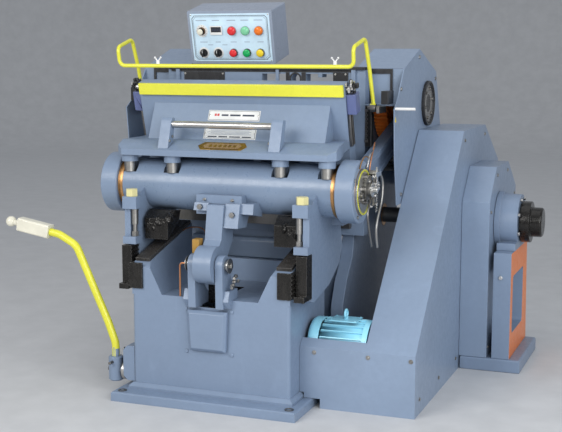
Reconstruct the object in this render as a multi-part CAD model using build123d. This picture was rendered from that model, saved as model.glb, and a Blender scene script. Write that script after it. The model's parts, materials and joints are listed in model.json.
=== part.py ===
from build123d import *
import math
import os

# Heavy platen press for die cutting and creasing board, in millimetres.
# X runs along the machine to the operator's right, Y away from the operator, Z up.
# X = 0 is the middle plane of the platen, Y = 0 lies directly under the platen's
# rocking pin and Z = 0 is the floor.

# ---- driving dimensions ----------------------------------------------------
PIN_Z = 568.0            # height of the platen's rocking pin, at Y = 0
LEAN = 15.8              # degrees the platen leans towards the operator at rest
PED_HALF = 340.0         # half width of the pedestal
PED_TOP = 431.0          # height of the pedestal's flat top
PED_DEPTH = 420.0        # pedestal, front to back
BASE_T = 38.0            # thickness of the base plate
WALL_IN, WALL_OUT = 340.0, 395.0     # main side walls, each side of the middle
BED_HALF = 455.0         # half width of bed and platen
BED_Y0, BED_Y1 = 585.0, 645.0        # front and back of the fixed bed
BED_Z0, BED_Z1 = 620.0, 1318.0
FACE_Y = 478.0           # platen's front face when it stands upright (closed)
PLATEN_T = 75.0
PLATEN_Z0, PLATEN_Z1 = 600.0, 1156.0
TUBE_Y, TUBE_Z, TUBE_R = 245.0, 850.0, 105.0
TUBE_END = 467.0
MAIN_Y, MAIN_Z = 1045.0, 1164.0      # crank shaft
CRANK_R = 100.0
ROD_L = 930.6
MODULE = 6.0
BULL_T, PINION_T, IDLER_T, CLUTCH_T = 56, 24, 60, 36
MID_Y, MID_Z = 1074.5, 925.8         # intermediate shaft
FLY_Y, FLY_Z = 1110.0, 640.0         # flywheel and clutch shaft
MOTOR_Y, MOTOR_Z = 245.0, 238.0
FLY_R, MOTOR_PULLEY_R = 380.0, 60.0
GUARD_X = 604.0          # outer face of the gear guards
BELT_X0, BELT_X1 = 607.0, 808.0      # belt guard
OUTER_X = 930.0          # outer face of the clutch guard
CAP_X = 1034.0           # where the clutch cap starts on its shaft
SHEET = 5.0              # sheet metal of the guards
SHAFT_GAP = 0.05         # running clearance on a radius


# ---- small shape helpers ---------------------------------------------------
def block(x0, x1, y0, y1, z0, z1):
    """Box between two corners."""
    size = (x1 - x0, y1 - y0, z1 - z0)
    return Pos((x0 + x1) / 2, (y0 + y1) / 2, (z0 + z1) / 2) * Box(*size)


def side_plate(points, x0, x1):
    """Plate with an outline in Y and Z, from x0 to x1."""
    face = Plane.YZ.offset(x0) * make_face(Polyline(*points, close=True))
    return extrude(face, x1 - x0)


def front_plate(points, y0, y1):
    """Plate with an outline in X and Z, from y0 to y1."""
    plane = Plane(origin=(0, y0, 0), x_dir=(1, 0, 0), z_dir=(0, -1, 0))
    return extrude(plane * make_face(Polyline(*points, close=True)), -(y1 - y0))


def flat_plate(points, z0, z1):
    """Plate with an outline in X and Y, from z0 to z1."""
    face = Plane.XY.offset(z0) * make_face(Polyline(*points, close=True))
    return extrude(face, z1 - z0)


def rod_x(x0, x1, y, z, r):
    return Pos((x0 + x1) / 2, y, z) * Rot(0, 90, 0) * Cylinder(r, x1 - x0)


def rod_y(x, y0, y1, z, r):
    return Pos(x, (y0 + y1) / 2, z) * Rot(90, 0, 0) * Cylinder(r, y1 - y0)


def rod_z(x, y, z0, z1, r):
    return Pos(x, y, (z0 + z1) / 2) * Cylinder(r, z1 - z0)


def ring_x(x0, x1, y, z, outer, inner):
    return rod_x(x0, x1, y, z, outer) - rod_x(x0 - 1, x1 + 1, y, z, inner)


def hex_x(x0, x1, y, z, across):
    """Hexagon along X, across its flats."""
    face = Plane.YZ.offset(x0) * Pos(y, z) * RegularPolygon(across / math.sqrt(3), 6)
    return extrude(face, x1 - x0)


def hex_y(x, y0, y1, z, across):
    plane = Plane(origin=(x, y0, z), x_dir=(1, 0, 0), z_dir=(0, -1, 0))
    return extrude(plane * RegularPolygon(across / math.sqrt(3), 6), -(y1 - y0))


def hex_z(x, y, z0, z1, across):
    face = Pos(x, y, z0) * RegularPolygon(across / math.sqrt(3), 6)
    return extrude(face, z1 - z0)


def both_sides(shape):
    """The shape and its mirror image across the middle plane."""
    return [shape, mirror(shape, about=Plane.YZ)]


def lean(shape, degrees=LEAN):
    """Turn an upright shape towards the operator about the rocking pin."""
    return Pos(0, 0, PIN_Z) * Rot(degrees, 0, 0) * Pos(0, 0, -PIN_Z) * shape


def bent_rod(points, radii, r):
    """Round bar along a bent line."""
    path = FilletPolyline(*points, radius=radii)
    return sweep((path ^ 0) * Circle(r), path=path)


def shell(points, inner_points, x0, x1, open_left=False, open_right=False):
    """Folded sheet cover: an outline in Y and Z, hollow and open underneath."""
    left = x0 - 1 if open_left else x0 + SHEET
    right = x1 + 1 if open_right else x1 - SHEET
    return side_plate(points, x0, x1) - side_plate(inner_points, left, right)


def gear(teeth, x0, x1, y, z, bore, first_tooth):
    """Spur gear along X; first_tooth is the direction of one tooth in degrees."""
    pitch_r = MODULE * teeth / 2
    step = 2 * math.pi / teeth
    outline = []
    for i in range(teeth):
        middle = math.radians(first_tooth) + i * step
        for offset, r in ((-0.34, pitch_r - 1.25 * MODULE), (-0.11, pitch_r + 0.8 * MODULE),
                          (0.11, pitch_r + 0.8 * MODULE), (0.34, pitch_r - 1.25 * MODULE)):
            angle = middle + offset * step
            outline.append((y + r * math.cos(angle), z + r * math.sin(angle)))
    return side_plate(outline, x0, x1) - rod_x(x0 - 1, x1 + 1, y, z, bore)


def belt(x0, x1, thickness, gap):
    """Endless belt round the flywheel and the motor pulley."""
    def loop(extra):
        big = Pos(FLY_Y, FLY_Z) * Circle(FLY_R + extra)
        small = Pos(MOTOR_Y, MOTOR_Z) * Circle(MOTOR_PULLEY_R + extra)
        hull = make_hull(big.edges() + small.edges())
        return extrude(Plane.YZ.offset(x0) * hull, x1 - x0)
    return loop(gap + thickness) - loop(gap)


def solids_of(shape):
    if isinstance(shape, (list, tuple)):
        return [solid for item in shape for solid in solids_of(item)]
    return list(shape.solids())


def save(name, *shapes):
    """Write one sub-part; a group keeps its pieces as separate solids."""
    solids = solids_of(shapes)
    part = solids[0] if len(solids) == 1 else Compound(children=solids)
    part.label = name
    export_step(part, f"parts/{name}.step")


os.makedirs("parts", exist_ok=True)


# ---- base and pedestal -----------------------------------------------------
ANCHOR_X, ANCHOR_FRONT, ANCHOR_BACK, ANCHOR_R = 360.0, -62.0, 1380.0, 11.0


def make_base():
    base = block(-395, 395, -96, 421, 0, BASE_T) + block(-470, 470, 420, 1420, 0, BASE_T)
    for x in (-ANCHOR_X, ANCHOR_X):
        for y in (ANCHOR_FRONT, ANCHOR_BACK):
            base -= rod_z(x, y, -1, BASE_T + 1, ANCHOR_R)
    save("base_plate", chamfer(base.edges().group_by(Axis.Z)[-1].filter_by(GeomType.LINE), 5))


RAIL_SLOPE = 0.263
RAIL_Y0, RAIL_Z0 = 28.0, 557.0


def rail_top(y):
    """Height of the cheek's top under the ramp rail."""
    return RAIL_Z0 + RAIL_SLOPE * (y - RAIL_Y0)


def make_pedestal():
    wall = 30.0
    body = block(-PED_HALF, PED_HALF, 0, PED_DEPTH, BASE_T, PED_TOP)
    body = fillet(body.edges().filter_by(Axis.Z), 14)
    skirt = flat_plate([(-356, -18), (356, -18), (356, PED_DEPTH), (-356, PED_DEPTH)], BASE_T, 60)
    skirt = chamfer(skirt.edges().group_by(Axis.Z)[-1], 14)
    body += skirt
    body -= block(-PED_HALF + wall, PED_HALF - wall, wall, PED_DEPTH - wall, BASE_T - 1, PED_TOP - wall)
    cheek_front = [(-PED_HALF, PED_TOP - 5), (-PED_HALF, 720), (-270, 720), (-270, 560), (-205, PED_TOP - 5)]
    cheek_side = [(0, PED_TOP - 5), (0, rail_top(0) - 12), (RAIL_Y0, RAIL_Z0),
                  (PED_DEPTH, rail_top(PED_DEPTH)), (PED_DEPTH, PED_TOP - 5)]
    cheek = front_plate(cheek_front, 0, PED_DEPTH) & side_plate(cheek_side, -400, 0)
    for side in both_sides(cheek):
        body += side
    body += block(-272, 272, PED_DEPTH - wall, PED_DEPTH, PED_TOP - 5, 525)
    ear = side_plate([(-34, 400), (-38, PIN_Z), (38, PIN_Z), (58, 470), (110, 425), (110, 400)], 43, 74)
    ear += rod_x(43, 74, 0, PIN_Z, 40)
    ear += side_plate([(-34, 430), (-12, 400), (60, 400), (60, 470), (-20, 470)], 74, 96)
    for side in both_sides(ear):
        body += side
    body -= block(-43, 43, -60, 260, 395, PED_TOP + 1)
    body -= rod_x(-80, 80, 0, PIN_Z, 20)
    save("pedestal", body)

    cover = front_plate([(-88, 386), (84, 386), (76, 222), (-78, 222)], -30, 0)
    cover = chamfer(cover.edges().group_by(Axis.Y)[0], 12)
    bolts = [hex_y(x, -5, 0, z, 15) for x in (-100, 97) for z in (385, 212)]
    save("front_cover", cover, bolts)

    angle = math.degrees(math.atan(RAIL_SLOPE))
    rail_length = (PED_DEPTH - RAIL_Y0) / math.cos(math.radians(angle)) - 4
    rail = Pos(-305, RAIL_Y0, RAIL_Z0) * Rot(angle, 0, 0) * block(-31, 31, 0, rail_length, 0, 14)
    save("ramp_rails", both_sides(rail))

    tooth_pitch = 17.0
    horn = block(-346, -290, -10, 0, 452, 556)
    horn += block(-346, -PED_HALF, 0, 46, 452, 556)
    for i in range(6):
        z = 458 + i * tooth_pitch
        horn += front_plate([(-346, z), (-352, z + 3), (-352, z + 8), (-346, z + 11)], -10, 46)
    save("toothed_blocks", both_sides(horn))


# ---- main frame: walls, bed, chase ----------------------------------------
def make_frame():
    outline = [(480, BASE_T), (490, 330), (540, 430), (620, 520), (BED_Y1, BED_Z0), (BED_Y1, 1290),
               (760, 1318), (900, 1330), (1130, 1318), (1230, 1240), (1270, 1000), (1400, 300),
               (1400, BASE_T)]
    wall = side_plate(outline, WALL_IN, WALL_OUT)
    wall -= rod_x(WALL_IN - 1, WALL_OUT + 1, MAIN_Y, MAIN_Z, 70)
    wall -= rod_x(WALL_IN - 1, WALL_OUT + 1, MID_Y, MID_Z, 52)
    wall -= rod_x(WALL_IN - 1, WALL_OUT + 1, FLY_Y, FLY_Z, 52)
    ties = [rod_x(-WALL_IN, WALL_IN, y, z, 38) for y, z in ((1330, 300), (740, 330))]
    cross_wall = block(-WALL_IN, WALL_IN, 600, 640, BASE_T, BED_Z0)
    beam = block(-WALL_IN, WALL_IN, 560, 600, 500, 588)
    beam = fillet(beam.edges().filter_by(Axis.X).sort_by(lambda e: e.center().Y - e.center().Z)[0], 20)
    save("side_walls", both_sides(wall), ties, cross_wall, beam)

    bed = block(-BED_HALF, BED_HALF, BED_Y0, BED_Y1, BED_Z0, BED_Z1)
    for x in (-200, 0, 200):
        bed += block(x - 18, x + 18, BED_Y1, BED_Y1 + 90, BED_Z0 + 30, BED_Z1 - 60)
    for z in (BED_Z0 + 40, 960, BED_Z1 - 90):
        bed += block(-320, 320, BED_Y1, BED_Y1 + 90, z, z + 34)
    bed -= block(WALL_IN, WALL_OUT, BED_Y1, BED_Y1 + 100, 0, 2000)
    for x, width in ((58, 14), (396, 18), (-414, 18)):
        bed += block(x, x + width, BED_Y0 - 12, BED_Y0, 1240, BED_Z1)
    window_left = block(-8, 101, BED_Y0 - 1, BED_Y1 + 1, 1264, 1300)
    window_right = block(192, 313, BED_Y0 - 1, BED_Y1 + 1, 1264, 1300)
    window_right -= block(246, 264, BED_Y0 - 2, BED_Y1 + 2, 1286, 1301)
    bed -= window_left + window_right
    bed -= rod_y(145, BED_Y0 - 1, BED_Y1 + 1, 1279, 20)
    save("bed", bed)

    chase = block(-400, 400, BED_Y0 - 24, BED_Y0, 650, 1150)
    chase -= block(-342, 342, BED_Y0 - 25, BED_Y0 + 1, 700, 1100)
    clamp = block(-330, -270, BED_Y0 - 24, BED_Y0, 1150.5, 1196)
    clamp += block(-330, -270, BED_Y0 - 28, BED_Y0 - 24.5, 1128, 1196)
    save("die_chase", chase, both_sides(clamp))


# ---- guards ---------------------------------------------------------------
ROOF = [(650, 1324), (904, 1406), (1216, 1303), (1315, 1057), (1330, 760)]
ROOF_IN = [(655, 1320), (904, 1400.8), (1212, 1299), (1310, 1056), (1325, 760)]
GUARD_FRONT = [(560, 760), (520, 958), (505, 1160), (565, 1212)]
GUARD_FRONT_LEFT = [(560, 760), (478, 1000), (459, 1153), (520, 1190), (565, 1212)]


def make_gear_guards():
    inner_x = WALL_OUT + 1
    roof = side_plate(ROOF + ROOF_IN[::-1], inner_x, GUARD_X)
    front = block(BED_HALF + 5, GUARD_X, 646, 651, 1172, 1322)
    shelf = block(BED_HALF + 5, GUARD_X, 560, 651, 1172, 1178)
    guards = []
    for front_edge in (GUARD_FRONT, GUARD_FRONT_LEFT):
        cheek = side_plate(ROOF + front_edge, GUARD_X - SHEET, GUARD_X)
        cheek -= rod_x(GUARD_X - 10, GUARD_X + 10, MAIN_Y, MAIN_Z, 60)
        guards.append(roof + cheek + front + shelf)
    save("gear_guards", guards[0], mirror(guards[1], about=Plane.YZ))

    trim = block(BED_HALF + 2, 556, 638, 646, 1302, 1322) + block(546, 556, 638, 646, 1180, 1322)
    strip = block(-456, 456, BED_Y0 - 14, BED_Y1, BED_Z1, BED_Z1 + 12)
    save("edge_trims", both_sides(trim), strip)


def make_belt_guards():
    outer = [(110, 0), (110, 246), (899, 1053), (1371, 1053), (1720, 862), (1720, 0)]
    inner = [(115, -1), (115, 244), (901.1, 1048), (1369.7, 1048), (1715, 859), (1715, -1)]
    guard = shell(outer, inner, BELT_X0, BELT_X1)
    guard -= rod_x(BELT_X0 - 1, BELT_X0 + 10, FLY_Y, FLY_Z, 60)
    guard -= rod_x(BELT_X1 - 10, BELT_X1 + 1, FLY_Y, FLY_Z, 60)
    guard -= rod_x(BELT_X0 - 1, BELT_X0 + 10, MOTOR_Y, MOTOR_Z, 40)

    left = PED_HALF + 1
    front = side_plate([(110, 0), (110, 246), (139, 275), (142.5, 271.5), (115, 244), (115, 0)],
                       left, BELT_X0 + 2)
    front -= block(left - 1, 425, 100, 150, -1, BASE_T + 1)
    front -= block(left - 1, 358, 100, 150, -1, 61)
    save("belt_guard", guard + front)

    outer = [(885, 58), (885, 748), (1030, 889), (1325, 889), (1540, 756), (1540, 58)]
    inner = [(890, 57), (890, 746), (1032, 884), (1323.6, 884), (1535, 753), (1535, 57)]
    guard = shell(outer, inner, BELT_X1 + 1, OUTER_X, open_left=True)
    guard -= rod_x(OUTER_X - 10, OUTER_X + 1, FLY_Y, FLY_Z, 60)
    save("clutch_guard", guard)


# ---- motor and belt drive --------------------------------------------------
def make_motor():
    body = rod_x(400, 596, MOTOR_Y, MOTOR_Z, 92)
    fins = 22
    for i in range(fins):
        angle = 360 * i / fins
        fin = block(408, 578, -2, 2, 88, 101)
        body += Pos(0, MOTOR_Y, MOTOR_Z) * Rot(angle, 0, 0) * fin
    body += rod_x(578, 600, MOTOR_Y, MOTOR_Z, 101)
    body += block(420, 570, MOTOR_Y - 88, MOTOR_Y + 88, MOTOR_Z - 112, MOTOR_Z - 84)
    body -= rod_x(590, 601, MOTOR_Y, MOTOR_Z, 19 + SHAFT_GAP)
    cover = rod_x(345, 400, MOTOR_Y, MOTOR_Z, 101)
    cover = fillet(cover.edges().group_by(Axis.X)[0], 30)
    cover -= rod_x(352, 401, MOTOR_Y, MOTOR_Z, 92)
    rails = [block(x, x + 40, MOTOR_Y - 110, MOTOR_Y + 110, 0, MOTOR_Z - 112) for x in (425, 525)]
    eye = Pos(488, MOTOR_Y, MOTOR_Z + 122) * Rot(0, 90, 0) * Torus(15, 5)
    eye += rod_z(488, MOTOR_Y, MOTOR_Z + 101.5, MOTOR_Z + 110, 9)
    save("motor_body", body, cover, rails, eye)

    shaft = rod_x(590.5, 735, MOTOR_Y, MOTOR_Z, 19)
    save("motor_pulley", shaft + rod_x(652, 728, MOTOR_Y, MOTOR_Z, MOTOR_PULLEY_R))
    wheel = ring_x(646, 734, FLY_Y, FLY_Z, FLY_R, 330) + ring_x(678, 702, FLY_Y, FLY_Z, 331, 70)
    wheel += ring_x(630, 750, FLY_Y, FLY_Z, 80, 52)
    wheel -= rod_x(620, 760, FLY_Y, FLY_Z, 52)
    for i in range(6):
        angle = math.radians(60 * i)
        wheel -= rod_x(670, 710, FLY_Y + 205 * math.cos(angle), FLY_Z + 205 * math.sin(angle), 62)
    save("flywheel", wheel, ring_x(630, 750, FLY_Y, FLY_Z, 52, 35 + SHAFT_GAP))
    belts = [belt(660 + i * 20, 673 + i * 20, 9, 1.0) for i in range(3)]
    save("v_belts", belts)


# ---- gear train ------------------------------------------------------------
def make_gear_train():
    up = math.degrees(math.atan2(MAIN_Z - MID_Z, MAIN_Y - MID_Y))
    down = math.degrees(math.atan2(FLY_Z - MID_Z, FLY_Y - MID_Y))
    bull = gear(BULL_T, 405, 465, MAIN_Y, MAIN_Z, 45, up + 180)
    bull -= ring_x(445, 470, MAIN_Y, MAIN_Z, 142, 78)
    save("bull_gears", both_sides(bull))
    disc = rod_x(553, 585, MAIN_Y, MAIN_Z, 150) + rod_x(585, GUARD_X + 8, MAIN_Y, MAIN_Z, 40)
    save("crank_shaft", rod_x(-466, 466, MAIN_Y, MAIN_Z, 45), both_sides(disc))

    pinion = gear(PINION_T, 405, 465, MID_Y, MID_Z, 35, up + 180 / PINION_T)
    idler = gear(IDLER_T, 150, 210, MID_Y, MID_Z, 35, down)
    save("intermediate_shaft", rod_x(-466, 466, MID_Y, MID_Z, 35), both_sides(pinion), idler)
    clutch_pinion = gear(CLUTCH_T, 150, 210, FLY_Y, FLY_Z, 35, down + 180 + 180 / CLUTCH_T)
    drum = ring_x(826, 900, FLY_Y, FLY_Z, 200, 160) + ring_x(850, 872, FLY_Y, FLY_Z, 161, 35)
    save("clutch_shaft", rod_x(-396, CAP_X, FLY_Y, FLY_Z, 35), clutch_pinion, drum)
    cap = rod_x(CAP_X, CAP_X + 44, FLY_Y, FLY_Z, 92) + rod_x(CAP_X + 44, CAP_X + 94, FLY_Y, FLY_Z, 66)
    cap = chamfer(cap.edges().filter_by(GeomType.CIRCLE).group_by(Axis.X)[-1], 6)
    save("clutch_cap", cap)

    bushes = []
    for y, z, outer, bore in ((MAIN_Y, MAIN_Z, 70, 45), (MID_Y, MID_Z, 52, 35), (FLY_Y, FLY_Z, 52, 35)):
        bushes += both_sides(ring_x(WALL_IN - 4, WALL_OUT, y, z, outer, bore + SHAFT_GAP))
    rings = ring_x(GUARD_X, GUARD_X + 13, MAIN_Y, MAIN_Z, 100, 84)
    rings += ring_x(GUARD_X, GUARD_X + 8, MAIN_Y, MAIN_Z, 84.5, 40 + SHAFT_GAP)
    save("shaft_bearings", bushes, both_sides(rings))


def make_outboard():
    base = block(813, 1078, 882, 1343, 0, 58)
    save("outboard_base", chamfer(base.edges().group_by(Axis.Z)[-1], 5))
    stand = side_plate([(888, 58), (888, 528), (1300, 528), (1336, 58)], 952, 1030)
    window = block(951, 1031, 940, 1210, 165, 420)
    stand -= fillet(window.edges().filter_by(Axis.X), 16)
    save("outboard_stand", stand)
    inner_x, outer_x = OUTER_X + 1.5, CAP_X - 2
    housing = rod_x(950, outer_x, FLY_Y, FLY_Z, 122) + rod_x(inner_x, 956, FLY_Y, FLY_Z, 132)
    housing += block(950, outer_x, FLY_Y - 150, FLY_Y + 150, 528, 560)
    housing -= rod_x(inner_x - 1, outer_x + 1, FLY_Y, FLY_Z, 35 + SHAFT_GAP)
    housing -= block(inner_x - 1, outer_x + 1, FLY_Y - 200, FLY_Y + 200, 400, 528)
    save("outboard_bearing", housing)
    bolts = []
    for i in range(8):
        angle = math.radians(22.5 + 45 * i)
        y, z = FLY_Y + 108 * math.cos(angle), FLY_Z + 108 * math.sin(angle)
        bolts.append(hex_x(outer_x, outer_x + 10, y, z, 14))
    bolts = [bolt for bolt in bolts if bolt.center().Z > 545]
    bolts.append(hex_y(985, 880, 888, 420, 16))
    bolts.append(rod_x(GUARD_X, GUARD_X + 84, 515, 1163, 6))
    save("frame_bolts", bolts)


# ---- platen and what rides on it ------------------------------------------
BOLT_Y = 168.0           # row of clamp bolts between ledge and tube
BOLT_XS = (-430, -236, 236, 430)
LEDGE = [(120, 1000), (190, 1034), (395, 1040), (400, 1012), (190, 977), (120, 976)]
PANEL_Y0, PANEL_Z0 = 258.0, 1036.0   # foot of the raised panel on the ledge
PANEL_Y1, PANEL_Z1 = 323.0, 1181.0   # its top edge on the platen face


def make_platen():
    plate = block(-BED_HALF, BED_HALF, FACE_Y, FACE_Y + PLATEN_T, PLATEN_Z0, PLATEN_Z1)
    back_top = plate.edges().filter_by(Axis.X).sort_by(lambda e: e.center().Y + e.center().Z)[-1]
    plate = lean(chamfer(back_top, 25))
    ledge_plan = [(-445, 120), (445, 120), (474, 150), (474, 200), (466, 260), (455, 300), (455, 402),
                  (-455, 402), (-455, 300), (-466, 260), (-474, 200), (-474, 150)]
    ledge = side_plate(LEDGE, -474, 474) & flat_plate(ledge_plan, 900, 1100)
    panel = side_plate([(PANEL_Y0, PANEL_Z0 - 6), (PANEL_Y0, PANEL_Z0), (PANEL_Y1, PANEL_Z1),
                        (350, 1175), (385, 1030)], -390, 390)
    body = plate + ledge + panel
    for x in BOLT_XS:
        body += rod_z(x, BOLT_Y, 947, 985, 34)
    body -= rod_x(-480, 480, TUBE_Y, TUBE_Z, TUBE_R)
    for x in (-300, -100, 100, 300):
        web = side_plate([(250, 940), (290, 1000), (390, 1020), (440, 800), (330, 800)], x - 15, x + 15)
        body += web - rod_x(x - 16, x + 16, TUBE_Y, TUBE_Z, TUBE_R)
    save("platen", body)


def make_tube():
    tube = ring_x(-TUBE_END, TUBE_END, TUBE_Y, TUBE_Z, TUBE_R, 60 + SHAFT_GAP)
    for x in BOLT_XS:
        tube -= rod_z(x, BOLT_Y, 904, 1000, 36)
    save("platen_tube", tube)

    shaft = rod_x(-548, 548, TUBE_Y, TUBE_Z, 60)
    for side in both_sides(rod_x(469, 548, TUBE_Y, TUBE_Z, 80)):
        shaft += side
    for side in both_sides(rod_x(548, 556, TUBE_Y, TUBE_Z, 90)):
        shaft += side
    teeth = 20
    ratchet = rod_x(556, 572, TUBE_Y + 22, TUBE_Z + 8, 52)
    for i in range(teeth):
        tooth = side_plate([(46, -6), (58, 0), (46, 6)], 556, 572)
        ratchet += Pos(0, TUBE_Y + 22, TUBE_Z + 8) * Rot(360 * i / teeth, 0, 0) * tooth
    ratchet += rod_x(572, 584, TUBE_Y + 22, TUBE_Z + 8, 26)
    pawl = side_plate([(TUBE_Y + 62, TUBE_Z + 80), (TUBE_Y + 82, TUBE_Z + 70), (TUBE_Y + 62, TUBE_Z - 60),
                       (TUBE_Y + 50, TUBE_Z - 58)], 575, 583)
    pawl += rod_x(556, 590, TUBE_Y + 68, TUBE_Z + 68, 12)
    pawl -= rod_x(584, 595, TUBE_Y + 22, TUBE_Z + 8, 52)
    save("impression_shaft", shaft, ratchet, pawl)


def make_legs():
    side = [(88, 815), (88, 432), (112, 424), (300, 462), (430, 530), (466, 596), (436, 700),
            (380, 830), (245, 850), (150, 850)]
    leg = side_plate(side, 350, 398)
    leg += block(335, 398, 36, 90, 765, 815)
    leg += block(372, 398, 55, 90, 640, 770)
    leg += block(340, 398, 36, 90, 622, 652)
    leg += side_plate([(330, 700), (330, 850), (410, 850), (450, 700)], 398, 446)
    leg -= rod_x(300, 480, TUBE_Y, TUBE_Z, TUBE_R)
    leg -= rod_z(355, 62, 600, 770, 9.05)
    save("platen_legs", both_sides(leg))

    guide = block(356, 398, 26, 88, 444, 618)
    guide += block(356, 398, -4, 30, 444, 466)
    for i in range(9):
        z = 468 + i * 17
        guide += front_plate([(356, z), (353.2, z + 3), (353.2, z + 8), (356, z + 11)], 26, 88)
    save("guide_blocks", both_sides(guide))
    save("leg_bolts", both_sides(hex_z(367, 61, 815, 845, 44)))
    screw = rod_z(355, 62, 622, 764, 9) + rod_z(355, 62, 700, 764, 13) + hex_z(355, 62, 652.5, 672, 26)
    clamp_bolts = [rod_z(x, BOLT_Y, 905, 947, 24) for x in BOLT_XS]
    saddle_bolts = [hex_y(70, 62, 74, 758, 20), hex_y(-70, 66, 78, 785, 20)]
    save("platen_bolts", both_sides(screw), clamp_bolts, saddle_bolts)

    slide = side_plate([(108, 636), (214, 698), (232, 742), (150, 752), (108, 720)], 232, 334)
    slide += rod_x(226, 340, 172, 722, 30)
    slide -= rod_x(200, 360, TUBE_Y, TUBE_Z, TUBE_R)
    save("platen_slides", both_sides(slide))


def make_centre_arm():
    arm = side_plate([(-20, 600), (42, 660), (66, 795), (205, 795), (150, 640), (40, 520)], -36, 36)
    arm += rod_x(-39, 39, 0, PIN_Z, 74)
    arm -= rod_x(-40, 40, 0, PIN_Z, 20)
    arm -= rod_x(-40, 40, TUBE_Y, TUBE_Z, TUBE_R)
    save("centre_arm", arm)
    save("rocking_pin", rod_x(-88, 88, 0, PIN_Z, 20 - SHAFT_GAP))
    saddle = block(-98, 98, 100, 200, 752, 830)
    saddle += side_plate([(84, 800), (60, 706), (150, 700), (190, 770), (190, 800)], 37, 98)
    saddle += side_plate([(84, 800), (72, 770), (190, 770), (190, 800)], -98, -37)
    saddle += side_plate([(100, 800), (90, 760), (190, 740), (190, 800)], 98, 150)
    saddle -= rod_x(-160, 160, TUBE_Y, TUBE_Z, TUBE_R)
    saddle -= block(-36.5, 36.5, 40, 260, 690, 796)
    saddle -= hex_y(70, 50, 74, 758, 20) + hex_y(-70, 50, 78, 785, 20)
    save("arm_saddle", saddle)


def make_platen_trim():
    bar_y, bar_z = 181, 1101
    profile = side_plate([(124, 985), (168, 1118), (182, 1130), (204, 1124), (172, 985)], -284, 246)
    profile -= side_plate(LEDGE, -285, 247)
    profile -= rod_x(-285, 247, bar_y, bar_z, 10)
    arms = [profile & block(x0, x1, 100, 300, 900, 1200) for x0, x1 in ((-284, -238), (198, 246))]
    bar = rod_x(-237.5, 197.5, bar_y, bar_z, 14) + rod_x(-284, 246, bar_y, bar_z, 10)
    save("platen_handle", arms, bar)
    bar = lean(block(-451, 451, FACE_Y - 14, FACE_Y, 1108, 1156))
    save("platen_top_bar", bar)
    back = -math.degrees(math.atan2(PANEL_Y1 - PANEL_Y0, PANEL_Z1 - PANEL_Z0))
    plates = []
    for x0, x1, low, high in ((-133, 97, 84, 130), (-140, 92, 4, 55)):
        plate = block(x0, x1, -2, 0, low, high)
        plates.append(Pos(0, PANEL_Y0, PANEL_Z0) * Rot(back, 0, 0) * plate)
    (y0, z0), (y1, z1) = LEDGE[:2]
    slope = math.degrees(math.atan2(z1 - z0, y1 - y0))
    outline = [(-115, 43), (-95, 14), (80, 14), (98, 43), (80, 72), (-95, 72)]
    plates.append(Pos(0, y0, z0) * Rot(slope, 0, 0) * flat_plate(outline, 0, 2))
    save("name_plates", plates)
    gauges = [block(BED_HALF, 494, 486, 540, 1030, 1112)]
    gauges += [block(BED_HALF, 468, y, y + 14, 895, 1030) for y in (486, 508)]
    save("gauge_blocks", [both_sides(lean(piece)) for piece in gauges])


# ---- connecting rods -------------------------------------------------------
def make_rods():
    reach_y, reach_z = MAIN_Y - TUBE_Y, MAIN_Z - TUBE_Z
    reach = math.hypot(reach_y, reach_z)
    swing = math.acos((reach ** 2 + ROD_L ** 2 - CRANK_R ** 2) / (2 * reach * ROD_L))
    angle = math.atan2(reach_z, reach_y) - swing
    end_y = TUBE_Y + ROD_L * math.cos(angle)
    end_z = TUBE_Z + ROD_L * math.sin(angle)
    eye = rod_x(473, 547, TUBE_Y, TUBE_Z, 125)
    eye = chamfer(eye.edges().filter_by(GeomType.CIRCLE), 4)
    shank_half = [(40, -62), (40, 62), (240, 50), (ROD_L - 40, 40), (ROD_L - 40, -40), (240, -50)]
    shank = side_plate(shank_half, 486, 536)
    shank -= side_plate([(190, -28), (190, 28), (ROD_L - 120, 20), (ROD_L - 120, -20)], 524, 537)
    shank -= side_plate([(190, -28), (190, 28), (ROD_L - 120, 20), (ROD_L - 120, -20)], 485, 498)
    shank = Pos(0, TUBE_Y, TUBE_Z) * Rot(math.degrees(angle), 0, 0) * shank
    rod = eye + shank + rod_x(480, 540, end_y, end_z, 70)
    rod -= rod_x(470, 550, TUBE_Y, TUBE_Z, 92)
    rod -= rod_x(470, 550, end_y, end_z, 40)
    pin = rod_x(466, 552, end_y, end_z, 40)
    save("connecting_rods", both_sides(rod), both_sides(pin))
    bush = ring_x(467.5, 547.5, TUBE_Y, TUBE_Z, 92, 80 + SHAFT_GAP)
    bush += ring_x(467.5, 473, TUBE_Y, TUBE_Z, 110, 80 + SHAFT_GAP)
    save("rod_bushes", both_sides(bush))


# ---- control box -----------------------------------------------------------
BOX_X0, BOX_X1 = -324.0, 67.0
BOX_H, BOX_D, BOX_TILT = 231.0, 165.0, 13.5
BOX_Y, BOX_Z = 555.0, 1341.0
COLUMNS = (64, 132, 204, 266, 328)
ROW_TOP, ROW_LOW = 145.0, 50.0


def on_box(shape):
    """From the box's own axes (X along, Y into the box, Z up its front) to the machine."""
    return Pos(BOX_X0, BOX_Y, BOX_Z) * Rot(BOX_TILT, 0, 0) * shape


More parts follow.
